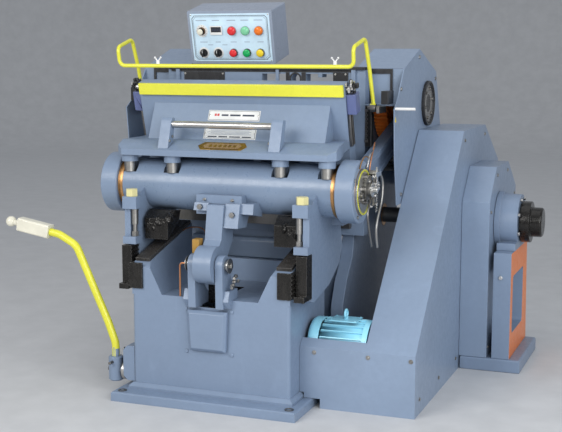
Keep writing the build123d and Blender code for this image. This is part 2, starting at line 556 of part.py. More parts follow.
def make_control_box():
    width = BOX_X1 - BOX_X0
    box = block(0, width, 0, BOX_D, 0, BOX_H)
    box = fillet(box.edges().filter_by(Axis.Y), 6)
    box -= block(4, width - 4, 4, BOX_D - 4, 4, BOX_H - 4)
    holes = []
    for x in COLUMNS:
        for z in (ROW_TOP, ROW_LOW):
            holes.append(rod_y(x, -10, 10, z, 11))
    for hole in holes:
        box -= hole
    panel = block(12, width - 12, -2, 0, 12, BOX_H - 12)
    for hole in holes:
        panel -= hole
    save("control_panel", on_box(panel))
    fittings = [rod_y(x, -16, -2, ROW_TOP, 17) + rod_y(x, -2, 30, ROW_TOP, 10.9) for x in COLUMNS[2:]]
    fittings.append(block(COLUMNS[1] - 25, COLUMNS[1] + 25, -8, -2, ROW_TOP - 14, ROW_TOP + 20))
    for x, z in [(x, ROW_LOW) for x in COLUMNS] + [(COLUMNS[0], ROW_TOP)]:
        fittings.append(rod_y(x, -8, -2, z, 17) - rod_y(x, -9, -1, z, 11.4))
    save("panel_fittings", [on_box(fitting) for fitting in fittings])
    for name, x in zip(("stop", "start", "inch"), COLUMNS[2:]):
        button = rod_y(x, -16, 6, ROW_LOW, 10.8)
        save(f"{name}_button", on_box(button))
    for name, x, z in (("mode_selector", COLUMNS[0], ROW_LOW), ("speed_selector", COLUMNS[1], ROW_LOW),
                       ("delay_dial", COLUMNS[0], ROW_TOP)):
        knob = rod_y(x, -14, 6, z, 10.8) + rod_y(x, -24, -14, z, 15)
        knob -= block(x + 4, x + 20, -25, -15, z - 20, z + 20)
        knob -= block(x - 20, x - 4, -25, -15, z - 20, z + 20)
        save(name, on_box(knob))
    bracket = side_plate([(600, BED_Z1 + 12), (600, 1351.7), (700, 1375.7), (700, BED_Z1),
                          (BED_Y1, BED_Z1), (BED_Y1, BED_Z1 + 12)], -250, -10)
    save("control_box", on_box(box), bracket)


# ---- safety bar ------------------------------------------------------------
SAFETY_Y, SAFETY_Z = 472.0, 1180.0


def make_safety_bar():
    loop = bent_rod([(524, SAFETY_Y, SAFETY_Z), (520, 424, 1324), (518, 366, 1445), (512, 230, 1411),
                     (510, 245, 1336), (452, 245, 1336)], [60, 26, 24, 24], 8)
    side = loop + rod_x(512, 536, SAFETY_Y, SAFETY_Z - 12, 17)
    side -= rod_x(500, 550, SAFETY_Y, SAFETY_Z - 12, 8 + SHAFT_GAP)
    save("safety_bar", both_sides(side), rod_x(-452, 452, 245, 1336, 8))
    pin = rod_x(500, 552, SAFETY_Y, SAFETY_Z - 12, 8)
    bracket = block(540, 552, SAFETY_Y - 14, 562, 1146, 1172) + block(520, 552, 556, 562, 1146, 1172)
    bracket += pin
    switch = block(556, 584, 470, 558, 1182, 1236)
    save("safety_bar_brackets", both_sides(bracket), both_sides(switch))


# ---- hand lever ------------------------------------------------------------
LEVER_Y, LEVER_Z = 45.0, 92.0


def make_lever():
    bracket = block(-392, -PED_HALF, 8, 96, 60.5, 205)
    bracket = chamfer(bracket.edges().filter_by(Axis.Y).group_by(Axis.X)[0], 18)
    bracket += rod_x(-404, -392, LEVER_Y, LEVER_Z, 38)
    bracket -= rod_x(-410, -360, LEVER_Y, LEVER_Z, 16 + SHAFT_GAP)
    save("lever_bracket", bracket)
    shaft = rod_x(-470, -362, LEVER_Y, LEVER_Z, 16)
    socket = rod_z(-446, LEVER_Y, 46, 148, 31)
    socket = chamfer(socket.edges().filter_by(GeomType.CIRCLE), 5)
    socket -= rod_x(-480, -400, LEVER_Y, LEVER_Z, 16)
    socket -= rod_z(-446, LEVER_Y, 120, 150, 16)
    rod = bent_rod([(-446, LEVER_Y, 120), (-446, LEVER_Y, 200), (-480, LEVER_Y, 290), (-622, LEVER_Y, 600),
                    (-700, LEVER_Y, 641), (-744, LEVER_Y, 649)], [110, 150, 70, 60], 16)
    save("lever_rod", shaft, socket, rod)
    grip = block(-150, 0, -24, 24, -28, 28)
    grip = fillet(grip.edges().filter_by(Axis.X), 8)
    grip = Pos(-744.5, LEVER_Y, 650) * Rot(0, 10, 0) * grip
    neck = Rot(0, 10, 0) * rod_x(-178, -150, 0, 0, 12)
    knob = Rot(0, 10, 0) * (Pos(-194, 0, 0) * Sphere(22))
    save("lever_grip", grip, Pos(-744.5, LEVER_Y, 650) * (neck + knob))


# ---- oil pipes -------------------------------------------------------------
def make_pipes():
    r = 4.0
    pipe = bent_rod([(-88, 6, 566), (-128, 6, 566), (-128, 6, PED_TOP)], [12], r)
    distributor = block(-73, -44, 4, 44, 608.2, 664)
    save("oil_pipes", pipe, distributor)


make_base()
make_pedestal()
make_frame()
make_gear_guards()
make_belt_guards()
make_motor()
make_gear_train()
make_outboard()
make_platen()
make_tube()
make_legs()
make_centre_arm()
make_platen_trim()
make_rods()
make_control_box()
make_safety_bar()
make_lever()
make_pipes()
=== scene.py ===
import bpy
import bmesh
import json
import math
import random
from mathutils import Matrix, Vector, noise


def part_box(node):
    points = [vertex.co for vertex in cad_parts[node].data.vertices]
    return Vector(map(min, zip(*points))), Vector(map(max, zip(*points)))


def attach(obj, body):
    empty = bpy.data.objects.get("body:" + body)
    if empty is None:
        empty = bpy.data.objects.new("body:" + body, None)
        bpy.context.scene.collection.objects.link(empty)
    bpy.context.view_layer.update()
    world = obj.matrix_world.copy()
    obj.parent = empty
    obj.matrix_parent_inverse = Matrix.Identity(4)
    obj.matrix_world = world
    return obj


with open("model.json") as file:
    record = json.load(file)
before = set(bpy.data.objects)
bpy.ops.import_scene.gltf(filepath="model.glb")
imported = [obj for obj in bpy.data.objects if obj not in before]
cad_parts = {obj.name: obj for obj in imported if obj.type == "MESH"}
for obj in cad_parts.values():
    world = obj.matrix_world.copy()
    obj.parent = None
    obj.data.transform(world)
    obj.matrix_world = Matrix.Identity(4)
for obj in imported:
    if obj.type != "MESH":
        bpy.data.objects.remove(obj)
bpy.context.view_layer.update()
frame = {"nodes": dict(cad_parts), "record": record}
nodes = frame["nodes"]
rng = random.Random(7)


# ---- materials ----
class Shader:
    """One Principled surface whose patterns are built from nodes, in metres of the machine's own frame."""

    def __init__(self, name, metallic=0.0, coat=0.0):
        self.mat = bpy.data.materials.new(name)
        self.mat.use_nodes = True
        self.tree = self.mat.node_tree
        self.bsdf = self.tree.nodes["Principled BSDF"]
        self.bsdf.inputs["Metallic"].default_value = metallic
        self.bsdf.inputs["Coat Weight"].default_value = coat
        self.place = self.add("ShaderNodeTexCoord").outputs["Object"]

    def add(self, kind, **settings):
        node = self.tree.nodes.new(kind)
        for key, value in settings.items():
            setattr(node, key, value)
        return node

    def put(self, socket, value):
        if isinstance(value, bpy.types.NodeSocket):
            self.tree.links.new(value, socket)
        else:
            socket.default_value = value

    def noise(self, scale, detail=3.0, roughness=0.55, distortion=0.0, stretch=None):
        node = self.add("ShaderNodeTexNoise")
        place = self.place
        if stretch:
            mapping = self.add("ShaderNodeMapping")
            mapping.inputs["Scale"].default_value = stretch
            self.put(mapping.inputs["Vector"], place)
            place = mapping.outputs["Vector"]
        self.put(node.inputs["Vector"], place)
        node.inputs["Scale"].default_value = scale
        node.inputs["Detail"].default_value = detail
        node.inputs["Roughness"].default_value = roughness
        node.inputs["Distortion"].default_value = distortion
        return node.outputs["Fac"]

    def remap(self, value, low, high, out_low=0.0, out_high=1.0):
        node = self.add("ShaderNodeMapRange", clamp=True)
        self.put(node.inputs["Value"], value)
        for key, number in (("From Min", low), ("From Max", high), ("To Min", out_low), ("To Max", out_high)):
            node.inputs[key].default_value = number
        return node.outputs["Result"]

    def math(self, operation, a, b=0.5):
        node = self.add("ShaderNodeMath", operation=operation)
        self.put(node.inputs[0], a)
        self.put(node.inputs[1], b)
        return node.outputs[0]

    def mix(self, factor, a, b):
        node = self.add("ShaderNodeMix", data_type="RGBA")
        self.put(node.inputs["Factor"], factor)
        self.put(node.inputs["A"], a)
        self.put(node.inputs["B"], b)
        return node.outputs["Result"]

    def hollow(self, distance):
        """1 in corners and under ledges, 0 in the open: the mask of the painted shade there."""
        node = self.add("ShaderNodeAmbientOcclusion", samples=8)
        node.inputs["Distance"].default_value = distance
        return self.math("SUBTRACT", 1.0, node.outputs["AO"])

    def edge(self, radius):
        """1 along sharp edges, 0 on open faces."""
        bevel = self.add("ShaderNodeBevel", samples=4)
        bevel.inputs["Radius"].default_value = radius
        flat = self.add("ShaderNodeNewGeometry").outputs["Normal"]
        dot = self.add("ShaderNodeVectorMath", operation="DOT_PRODUCT")
        self.put(dot.inputs[0], bevel.outputs["Normal"])
        self.put(dot.inputs[1], flat)
        return self.remap(dot.outputs["Value"], 0.985, 0.90)

    def bump(self, height, strength, distance, normal=None):
        node = self.add("ShaderNodeBump")
        node.inputs["Strength"].default_value = strength
        node.inputs["Distance"].default_value = distance
        self.put(node.inputs["Height"], height)
        if normal:
            self.put(node.inputs["Normal"], normal)
        return node.outputs["Normal"]

    def finish(self, colour, roughness, normal=None):
        self.put(self.bsdf.inputs["Base Color"], colour)
        self.put(self.bsdf.inputs["Roughness"], roughness)
        if normal:
            self.put(self.bsdf.inputs["Normal"], normal)
        return self.mat


# near-black colour of grease mixed with painted shade in corners and under ledges
GREASE_AND_SHADE = (0.045, 0.042, 0.040, 1.0)
OIL_STAIN = (0.055, 0.045, 0.035, 1.0)
# near-black colour of soot mixed with painted shade in the corners of steel
SOOT_AND_SHADE = (0.020, 0.018, 0.016, 1.0)
RUBBED_IRON = (0.24, 0.23, 0.22, 1.0)


def rgba(colour, gain=1.0):
    """Colour with alpha, lighter or darker by the gain."""
    return (colour[0] * gain, colour[1] * gain, colour[2] * gain, 1.0)


def paint(name, colour, gloss=0.36, cast=0.35, wear=0.5, corner_shade_and_grime=0.6, chip=(0.30, 0.31, 0.32), rim=0.0028):
    """Enamel over cast iron or sheet: mottled colour, orange peel, grease with painted shade in the corners,
    chipped edges.
    """
    s = Shader(name, coat=0.10)
    broad = s.remap(s.noise(2.6, 4.0, 0.6), 0.3, 0.7)
    fine = s.noise(48.0, 4.0, 0.65)
    shade = s.mix(broad, rgba(colour, 0.92), rgba(colour, 1.06))
    shade = s.mix(s.remap(fine, 0.35, 0.75, 0.0, 0.35), shade, rgba(colour, 0.86))
    rub = s.remap(s.noise(11.0, 5.0, 0.7, 0.6, (1.0, 1.0, 0.35)), 0.56, 0.74, 0.0, 0.30)
    shade = s.mix(rub, shade, rgba(colour, 1.22))
    blotch = s.remap(s.noise(17.0, 4.0, 0.6), 0.30, 0.62)
    # painted shade with grease: the AO mask darkens corners and under ledges towards near-black, in patches,
    # and makes them rougher
    grime_and_shade = s.math("MULTIPLY", s.remap(s.hollow(0.05), 0.42, 0.95, 0.0, corner_shade_and_grime), blotch)
    shade = s.mix(grime_and_shade, shade, GREASE_AND_SHADE)
    speck = s.remap(s.noise(150.0, 2.0, 0.5), 0.50, 0.60)
    if rim:
        worn = s.math("MULTIPLY", s.edge(rim), s.math("MULTIPLY", speck, wear))
        shade = s.mix(worn, shade, rgba(chip))
    rough = s.remap(fine, 0.3, 0.7, gloss - 0.06, gloss + 0.10)
    rough = s.math("ADD", rough, s.math("MULTIPLY", grime_and_shade, 0.3))
    waves = s.bump(s.noise(26.0, 2.0, 0.5), 0.25 * cast, 0.004)
    normal = s.bump(s.noise(420.0, 3.0, 0.6), cast, 0.0006, waves)
    return s.finish(shade, rough, normal)


def steel(name, colour, gloss=0.30, grain=(1.0, 40.0, 40.0), grease=0.35, metallic=1.0):
    """Turned or ground steel: fine lines along the grain, oil stains, and soot with painted shade in the
    corners.
    """
    s = Shader(name, metallic=metallic)
    lines = s.noise(90.0, 3.0, 0.6, 0.0, grain)
    stain = s.remap(s.noise(9.0, 5.0, 0.65, 0.8), 0.42, 0.68)
    shade = s.mix(s.remap(lines, 0.35, 0.65), rgba(colour, 0.84), rgba(colour, 1.08))
    shade = s.mix(s.math("MULTIPLY", stain, grease), shade, OIL_STAIN)
    # painted shade with soot: the AO mask darkens corners towards near-black
    grime_and_shade = s.remap(s.hollow(0.03), 0.35, 0.95, 0.0, 0.75)
    shade = s.mix(grime_and_shade, shade, SOOT_AND_SHADE)
    rough = s.remap(lines, 0.3, 0.7, gloss - 0.08, gloss + 0.12)
    rough = s.math("ADD", rough, s.math("MULTIPLY", stain, 0.12))
    return s.finish(shade, rough, s.bump(lines, 0.25, 0.0004))


def iron(name, colour, gloss=0.42, grease=0.6):
    """Dark greasy iron: wet streaks over a grainy skin."""
    s = Shader(name, metallic=0.35)
    grain = s.noise(160.0, 4.0, 0.65)
    streak = s.remap(s.noise(22.0, 5.0, 0.7, 1.2, (1.0, 1.0, 0.4)), 0.45, 0.66)
    shade = s.mix(s.remap(grain, 0.3, 0.7), rgba(colour, 0.6), rgba(colour, 1.7))
    shade = s.mix(s.math("MULTIPLY", streak, 0.35), shade, rgba(colour, 3.6))
    worn = s.math("MULTIPLY", s.edge(0.0025), 0.55)
    shade = s.mix(worn, shade, RUBBED_IRON)
    rough = s.remap(grain, 0.3, 0.7, gloss - 0.05, gloss + 0.2)
    rough = s.math("SUBTRACT", rough, s.math("MULTIPLY", streak, grease * 0.35))
    return s.finish(shade, rough, s.bump(grain, 0.5, 0.0009))


def moulded(name, colour, gloss=0.28, corner_shade=0.25):
    """Moulded plastic: faint mottling, painted shade in the corners, scuffs and a fine grain."""
    s = Shader(name, coat=0.15)
    broad = s.remap(s.noise(14.0, 4.0, 0.6), 0.3, 0.7)
    scuff = s.remap(s.noise(70.0, 5.0, 0.75, 0.5), 0.56, 0.72)
    shade = s.mix(broad, rgba(colour, 0.88), rgba(colour, 1.05))
    # painted shade: a darker copy of the plastic's own colour in corners, from the AO mask
    shade = s.mix(s.math("MULTIPLY", s.remap(s.hollow(0.012), 0.3, 0.95), corner_shade), shade, rgba(colour, 0.25))
    rough = s.math("ADD", s.math("MULTIPLY", scuff, 0.22), gloss)
    return s.finish(shade, rough, s.bump(s.noise(600.0, 2.0, 0.5), 0.25, 0.0003))


M = {
    "casting": paint("casting_enamel", (0.205, 0.272, 0.385), 0.38, 0.55, 0.55, 0.75),
    "sheet": paint("sheet_enamel", (0.228, 0.298, 0.412), 0.34, 0.14, 0.25, 0.0, rim=0.0),
    "machined_paint": paint("tube_enamel", (0.196, 0.262, 0.370), 0.30, 0.07, 0.35, 0.65),
    "motor": paint("motor_enamel", (0.34, 0.78, 0.97), 0.30, 0.30, 0.30, 0.65),
    "yellow": paint("yellow_enamel", (0.78, 0.76, 0.055), 0.30, 0.15, 0.50, 0.40, (0.16, 0.13, 0.07)),
    "orange": paint("orange_enamel", (0.80, 0.20, 0.030), 0.34, 0.45, 0.30, 0.55),
    "box": paint("control_box_enamel", (0.27, 0.315, 0.40), 0.32, 0.12, 0.25, 0.30),
    "panel": moulded("panel_face", (0.62, 0.80, 0.93), 0.34, 0.15),
    "black_iron": iron("black_iron", (0.016, 0.016, 0.017)),
    "black_trim": iron("black_trim", (0.020, 0.020, 0.022), 0.5, 0.2),
    "rail": iron("greasy_rail", (0.050, 0.046, 0.042), 0.36, 0.9),
    "steel": steel("turned_steel", (0.62, 0.61, 0.59), 0.26),
    "bright": steel("bright_steel", (0.72, 0.71, 0.69), 0.20, (30.0, 1.0, 30.0), 0.15),
    "dark_steel": steel("dark_steel", (0.26, 0.25, 0.24), 0.36, (20.0, 20.0, 2.0), 0.5),
    "bolt": steel("bolt_steel", (0.42, 0.41, 0.39), 0.34, (8.0, 8.0, 8.0), 0.45),
    "bronze": steel("bearing_bronze", (0.66, 0.36, 0.15), 0.30, (2.0, 30.0, 30.0), 0.35),
    "copper": steel("copper_pipe", (0.72, 0.33, 0.17), 0.30, (8.0, 8.0, 8.0), 0.25),
    "grey_iron": steel("grey_iron", (0.22, 0.22, 0.22), 0.46, (12.0, 12.0, 12.0), 0.5, 0.7),
    "belt": moulded("belt_rubber", (0.020, 0.020, 0.021), 0.6, 0.5),
    "black_plastic": moulded("black_plastic", (0.014, 0.014, 0.016), 0.32, 0.4),
    "ivory": moulded("ivory_plastic", (0.80, 0.77, 0.64), 0.30, 0.45),
    "white": moulded("white_plastic", (0.80, 0.80, 0.79), 0.34, 0.3),
    "red": moulded("red_plastic", (0.78, 0.030, 0.035), 0.18, 0.3),
    "green": moulded("green_plastic", (0.010, 0.42, 0.11), 0.18, 0.3),
    "amber": moulded("amber_plastic", (0.90, 0.20, 0.015), 0.18, 0.3),
    "yellow_plastic": moulded("yellow_plastic", (0.90, 0.66, 0.03), 0.18, 0.3),
    "plate": moulded("printed_plate", (0.80, 0.81, 0.80), 0.30, 0.25),
    "gold": steel("gold_plate", (0.34, 0.20, 0.035), 0.30, (30.0, 2.0, 2.0), 0.6),
    "ink": moulded("print_ink", (0.030, 0.040, 0.070), 0.45, 0.1),
    "red_ink": moulded("red_ink", (0.62, 0.05, 0.05), 0.45, 0.1),
    "ochre": paint("ochre_block", (0.42, 0.235, 0.045), 0.42, 0.4, 0.4, 0.7),
    "violet": paint("gauge_enamel", (0.115, 0.145, 0.31), 0.34, 0.3, 0.5, 0.5),
    "grease": iron("wet_grease", (0.012, 0.011, 0.010), 0.16, 0.4),
    "gear_orange": paint("gear_enamel", (0.95, 0.26, 0.04), 0.36, 0.4, 0.2, 0.2, rim=0.0),
    "mint": moulded("mint_plastic", (0.22, 0.62, 0.36), 0.18, 0.3),
    "pale_yellow": paint("pale_yellow_enamel", (0.72, 0.66, 0.33), 0.34, 0.3, 0.3, 0.4),
    "label": moulded("label_print", (0.30, 0.36, 0.46), 0.45, 0.1),
    "brown": moulded("brown_window", (0.22, 0.13, 0.07), 0.25, 0.2),
}

NODE_LOOK = {
    "base_plate": "casting", "pedestal": "casting", "front_cover": "casting", "ramp_rails": "rail",
    "toothed_blocks": "grease", "side_walls": "casting", "bed": "casting", "die_chase": "dark_steel",
    "gear_guards": "sheet", "edge_trims": "black_trim", "shaft_bearings": "bronze",
    "belt_guard": "sheet", "clutch_guard": "sheet", "motor_body": "motor", "outboard_base": "casting",
    "outboard_stand": "casting", "outboard_bearing": "casting", "frame_bolts": "bright",
    "control_box": "box", "control_panel": "panel", "panel_fittings": "black_plastic",
    "oil_pipes": "copper", "safety_bar_brackets": "dark_steel", "lever_bracket": "casting",
    "v_belts": "belt", "rocking_pin": "steel", "platen": "casting", "platen_tube": "machined_paint",
    "platen_legs": "casting", "guide_blocks": "grease", "platen_slides": "grease",
    "centre_arm": "casting", "arm_saddle": "casting", "platen_bolts": "bolt",
    "leg_bolts": "pale_yellow", "platen_handle": "casting", "platen_top_bar": "yellow",
    "name_plates": "plate", "gauge_blocks": "violet", "connecting_rods": "casting",
    "rod_bushes": "bronze", "impression_shaft": "steel", "crank_shaft": "dark_steel",
    "bull_gears": "gear_orange", "intermediate_shaft": "grey_iron", "clutch_shaft": "grey_iron",
    "clutch_cap": "grease", "flywheel": "grey_iron", "motor_pulley": "grey_iron", "lever_rod": "yellow",
    "lever_grip": "ivory", "safety_bar": "yellow", "stop_button": "red", "start_button": "green",
    "inch_button": "yellow_plastic", "mode_selector": "black_plastic",
    "speed_selector": "black_plastic", "delay_dial": "black_plastic",
}
CAST_EDGE, SHEET_EDGE, SMALL_EDGE = 0.0045, 0.0018, 0.0010
ROUNDING = {
    "base_plate": CAST_EDGE, "pedestal": 0.006, "front_cover": 0.003, "side_walls": CAST_EDGE,
    "bed": CAST_EDGE, "platen": 0.005, "platen_legs": 0.005, "centre_arm": 0.005, "arm_saddle": 0.004,
    "platen_handle": 0.003, "connecting_rods": 0.004, "outboard_stand": 0.005,
    "outboard_base": CAST_EDGE, "outboard_bearing": 0.003, "gear_guards": SHEET_EDGE,
    "belt_guard": SHEET_EDGE, "clutch_guard": SHEET_EDGE, "control_box": 0.002, "guide_blocks": 0.0008,
    "toothed_blocks": 0.0008, "gauge_blocks": 0.002, "lever_bracket": 0.004, "clutch_cap": 0.003,
    "motor_body": 0.0012, "platen_top_bar": 0.002,
}
PLAIN = {"bull_gears", "intermediate_shaft", "clutch_shaft", "v_belts", "flywheel", "motor_pulley"}


def dress(name, node):
    """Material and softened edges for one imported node."""
    mesh = node.data
    mesh.materials.clear()
    mesh.materials.append(M[NODE_LOOK[name]])
    for attribute in ("custom_normal", "sharp_face", "sharp_edge"):
        if attribute in mesh.attributes:
            mesh.attributes.remove(mesh.attributes[attribute])
    mesh.polygons.foreach_set("use_smooth", [True] * len(mesh.polygons))
    weld = node.modifiers.new("weld", "WELD")
    weld.merge_threshold = 0.00002
    if name in PLAIN:
        split = node.modifiers.new("sharp", "EDGE_SPLIT")
        split.split_angle = math.radians(32)
        return
    clean = node.modifiers.new("clean", "DECIMATE")
    clean.decimate_type = "DISSOLVE"
    clean.angle_limit = math.radians(0.6)
    bevel = node.modifiers.new("bevel", "BEVEL")
    bevel.width = ROUNDING.get(name, SMALL_EDGE)
    bevel.segments = 2
    bevel.limit_method = "ANGLE"
    bevel.angle_limit = math.radians(34)
    bevel.miter_outer = "MITER_ARC"
    bevel.use_clamp_overlap = True
    normals = node.modifiers.new("normals", "WEIGHTED_NORMAL")
    normals.keep_sharp = False
    normals.weight = 80


for node_name, node in nodes.items():
    dress(node_name, node)


# ---- helpers for pieces ----
def show(name, data, body, look):
    """A linked object with one material, riding on a body."""
    obj = bpy.data.objects.new(name, data)
    bpy.context.scene.collection.objects.link(obj)
    data.materials.append(M[look])
    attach(obj, body)
    return obj


def mesh_from(name, bm):
    """A smooth-shaded mesh from a bmesh, which is freed."""
    mesh = bpy.data.meshes.new(name)
    bmesh.ops.recalc_face_normals(bm, faces=bm.faces)
    bm.to_mesh(mesh)
    bm.free()
    mesh.polygons.foreach_set("use_smooth", [True] * len(mesh.polygons))
    return mesh


def piece(name, bm, body, look, bevel=0.0, smooth=30.0):
    """A mesh piece whose edges above the smooth angle are rounded, or left sharp with no bevel."""
    obj = show(name, mesh_from(name, bm), body, look)
    if bevel:
        rounding = obj.modifiers.new("bevel", "BEVEL")
        rounding.width = bevel
        rounding.segments = 2
        rounding.limit_method = "ANGLE"
        rounding.angle_limit = math.radians(smooth)
        weighted = obj.modifiers.new("normals", "WEIGHTED_NORMAL")
        weighted.weight = 80
    else:
        split = obj.modifiers.new("sharp", "EDGE_SPLIT")
        split.split_angle = math.radians(smooth)


def tube(name, points, radius, body, look):
    """Round pipe or wire along a smooth line through its control points."""
    curve = bpy.data.curves.new(name, "CURVE")
    curve.dimensions = "3D"
    curve.bevel_depth = radius
    curve.bevel_resolution = 4
    curve.resolution_u = 12
    curve.use_fill_caps = True
    spline = curve.splines.new("NURBS")
    spline.points.add(len(points) - 1)
    for point, place in zip(spline.points, points):
        point.co = (*place, 1.0)
    spline.order_u = 3
    spline.use_endpoint_u = True
    show(name, curve, body, look)


def along(axis, centre):
    """Matrix that carries +Z onto the axis, at the centre."""
    turn = Vector((0, 0, 1)).rotation_difference(Vector(axis)).to_matrix().to_4x4()
    return Matrix.Translation(centre) @ turn


def add_box(bm, x0, x1, y0, y1, z0, z1, at=Matrix.Identity(4)):
    """Box between two corners, in the frame of at."""
    centre = Matrix.Translation(((x0 + x1) / 2, (y0 + y1) / 2, (z0 + z1) / 2))
    size = Matrix.Diagonal((x1 - x0, y1 - y0, z1 - z0, 1.0))
    bmesh.ops.create_cube(bm, size=1.0, matrix=at @ centre @ size)


def circle(bm, at, radius, height, steps):
    """Ring of vertices about +Z of at."""
    turns = (2 * math.pi * i / steps for i in range(steps))
    return [bm.verts.new(at @ Vector((radius * math.cos(a), radius * math.sin(a), height))) for a in turns]


def add_band(bm, low, high):
    """Faces between two closed rings of as many vertices."""
    n = len(low)
    for i in range(n):
        bm.faces.new((low[i], low[(i + 1) % n], high[(i + 1) % n], high[i]))


def add_turned(bm, profile, at, steps=40):
    """Closed surface of revolution about +Z of at, from (radius, height) pairs."""
    rings = [circle(bm, at, radius, height, steps) for radius, height in profile]
    for low, high in zip(rings, rings[1:]):
        add_band(bm, low, high)
    bm.faces.new(rings[0][::-1])
    bm.faces.new(rings[-1])


def add_ring(bm, at, outer, inner, low, high, steps=56):
    """Flat ring about +Z of at."""
    corners = ((inner, low), (outer, low), (outer, high), (inner, high))
    rings = [circle(bm, at, radius, height, steps) for radius, height in corners]
    for ring, following in zip(rings, rings[1:] + rings[:1]):
        add_band(bm, ring, following)


def add_hex(bm, at, across, height, washer=0.0):
    """Hexagon head with a chamfered top, on an optional washer of that radius."""
    if washer:
        add_turned(bm, [(washer, 0.0), (washer, height * 0.16), (washer * 0.96, height * 0.22)], at, 28)
    r = across / math.sqrt(3)
    add_turned(bm, [(r, 0.0), (r, height * 0.82), (r * 0.86, height)], at, 6)


def add_heads(bm, side, x, places, across, height, washer=0.0):
    """Hexagon heads on a face at x that looks to that side, at the given y and z."""
    for y, z in places:
        add_hex(bm, along((side, 0, 0), (x, y, z)), across, height, washer)


def around(y, z, radius, start, step, count):
    """The y and z of places on a circle, from a start angle in steps of degrees."""
    turns = (math.radians(start + step * i) for i in range(count))
    return [(y + radius * math.cos(turn), z + radius * math.sin(turn)) for turn in turns]


def add_plate(bm, outline, thickness, at):
    """Flat plate from an outline in the XY plane of at, raised along its +Z."""
    low = [bm.verts.new(at @ Vector((x, y, 0.0))) for x, y in outline]
    high = [bm.verts.new(at @ Vector((x, y, thickness))) for x, y in outline]
    bm.faces.new(low[::-1])
    bm.faces.new(high)
    add_band(bm, low, high)


def bar_outline(x, y, width, height):
    """Corners of a rectangle about a centre."""
    return [(x - width / 2, y - height / 2), (x + width / 2, y - height / 2),
            (x + width / 2, y + height / 2), (x - width / 2, y + height / 2)]


def add_bars(bm, bars, thickness, at):
    """Flat bars, each given by its centre, width and height."""
    for x, y, width, height in bars:
        add_plate(bm, bar_outline(x, y, width, height), thickness, at)


def add_strip(bm, points, width, at, thickness=0.0004):
    """Thin line of constant width through the points of a plane."""
    for (x0, y0), (x1, y1) in zip(points, points[1:]):
        line = Vector((x1 - x0, y1 - y0)).normalized()
        side = Vector((-line.y, line.x)) * width / 2
        more = line * width / 2
        outline = [(x0 - more.x - side.x, y0 - more.y - side.y), (x1 + more.x - side.x, y1 + more.y - side.y),
                   (x1 + more.x + side.x, y1 + more.y + side.y), (x0 - more.x + side.x, y0 - more.y + side.y)]
        add_plate(bm, outline, thickness, at)


# ---- second looks on parts of one node ----
joints = {joint["name"]: joint for joint in frame["record"]["behaviour"]["joints"]}
pin_at = Vector(joints["platen_swing"]["pos_m"])
crank_at = Vector(joints["crank_turn"]["pos_m"])
tube_at = Vector(joints["impression_turn"]["pos_m"])
motor_at = Vector(joints["motor_spin"]["pos_m"])
lever_at = Vector(joints["hand_lever_swing"]["pos_m"])


def off_axis(point, axis_at):
    """Distance of a point from a line along X."""
    return math.hypot(point.y - axis_at.y, point.z - axis_at.z)


def reface(name, look, test):
    """A second material on the faces of a node whose centre passes the test."""
    mesh = nodes[name].data
    slot = len(mesh.materials)
    mesh.materials.append(M[look])
    for polygon in mesh.polygons:
        if test(polygon.center):
            polygon.material_index = slot


def reface_frame():
    """Unpainted, greasy and differently painted parts of the frame's nodes."""
    stand_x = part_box("outboard_stand")[1].x
    reface("outboard_stand", "orange", lambda c: c.x > stand_x - 0.0005)
    guard_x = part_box("gear_guards")[1].x
    bush_r = 0.0838
    reface("shaft_bearings", "black_trim",
           lambda c: abs(c.x) > guard_x - 0.002 and off_axis(c, crank_at) > bush_r)
    reface("shaft_bearings", "steel",
           lambda c: abs(c.x) > guard_x - 0.002 and off_axis(c, crank_at) <= bush_r)
    sump_half, sump_low, sump_high, sump_depth = 0.0435, 0.39, 0.4315, 0.262
    reface("pedestal", "grease",
           lambda c: abs(c.x) < sump_half and sump_low < c.z < sump_high and c.y < sump_depth)
    block_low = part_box("oil_pipes")[1].z - 0.057
    reface("oil_pipes", "ochre", lambda c: c.z > block_low and c.x > -0.08)
    boss_x, boss_r = -0.3919, 0.0385
    reface("lever_bracket", "steel", lambda c: c.x < boss_x and off_axis(c, lever_at) < boss_r)
    fan_x, fan_r = 0.357, 0.1005
    reface("motor_body", "black_plastic", lambda c: c.x < fan_x and off_axis(c, motor_at) < fan_r)
    reface("safety_bar_brackets", "black_plastic", lambda c: abs(c.x) > 0.5555)
    reface("frame_bolts", "white", lambda c: c.z > 1.1)
    reface("panel_fittings", "brown", lambda c: c.x < -0.23 and c.z > 1.46)


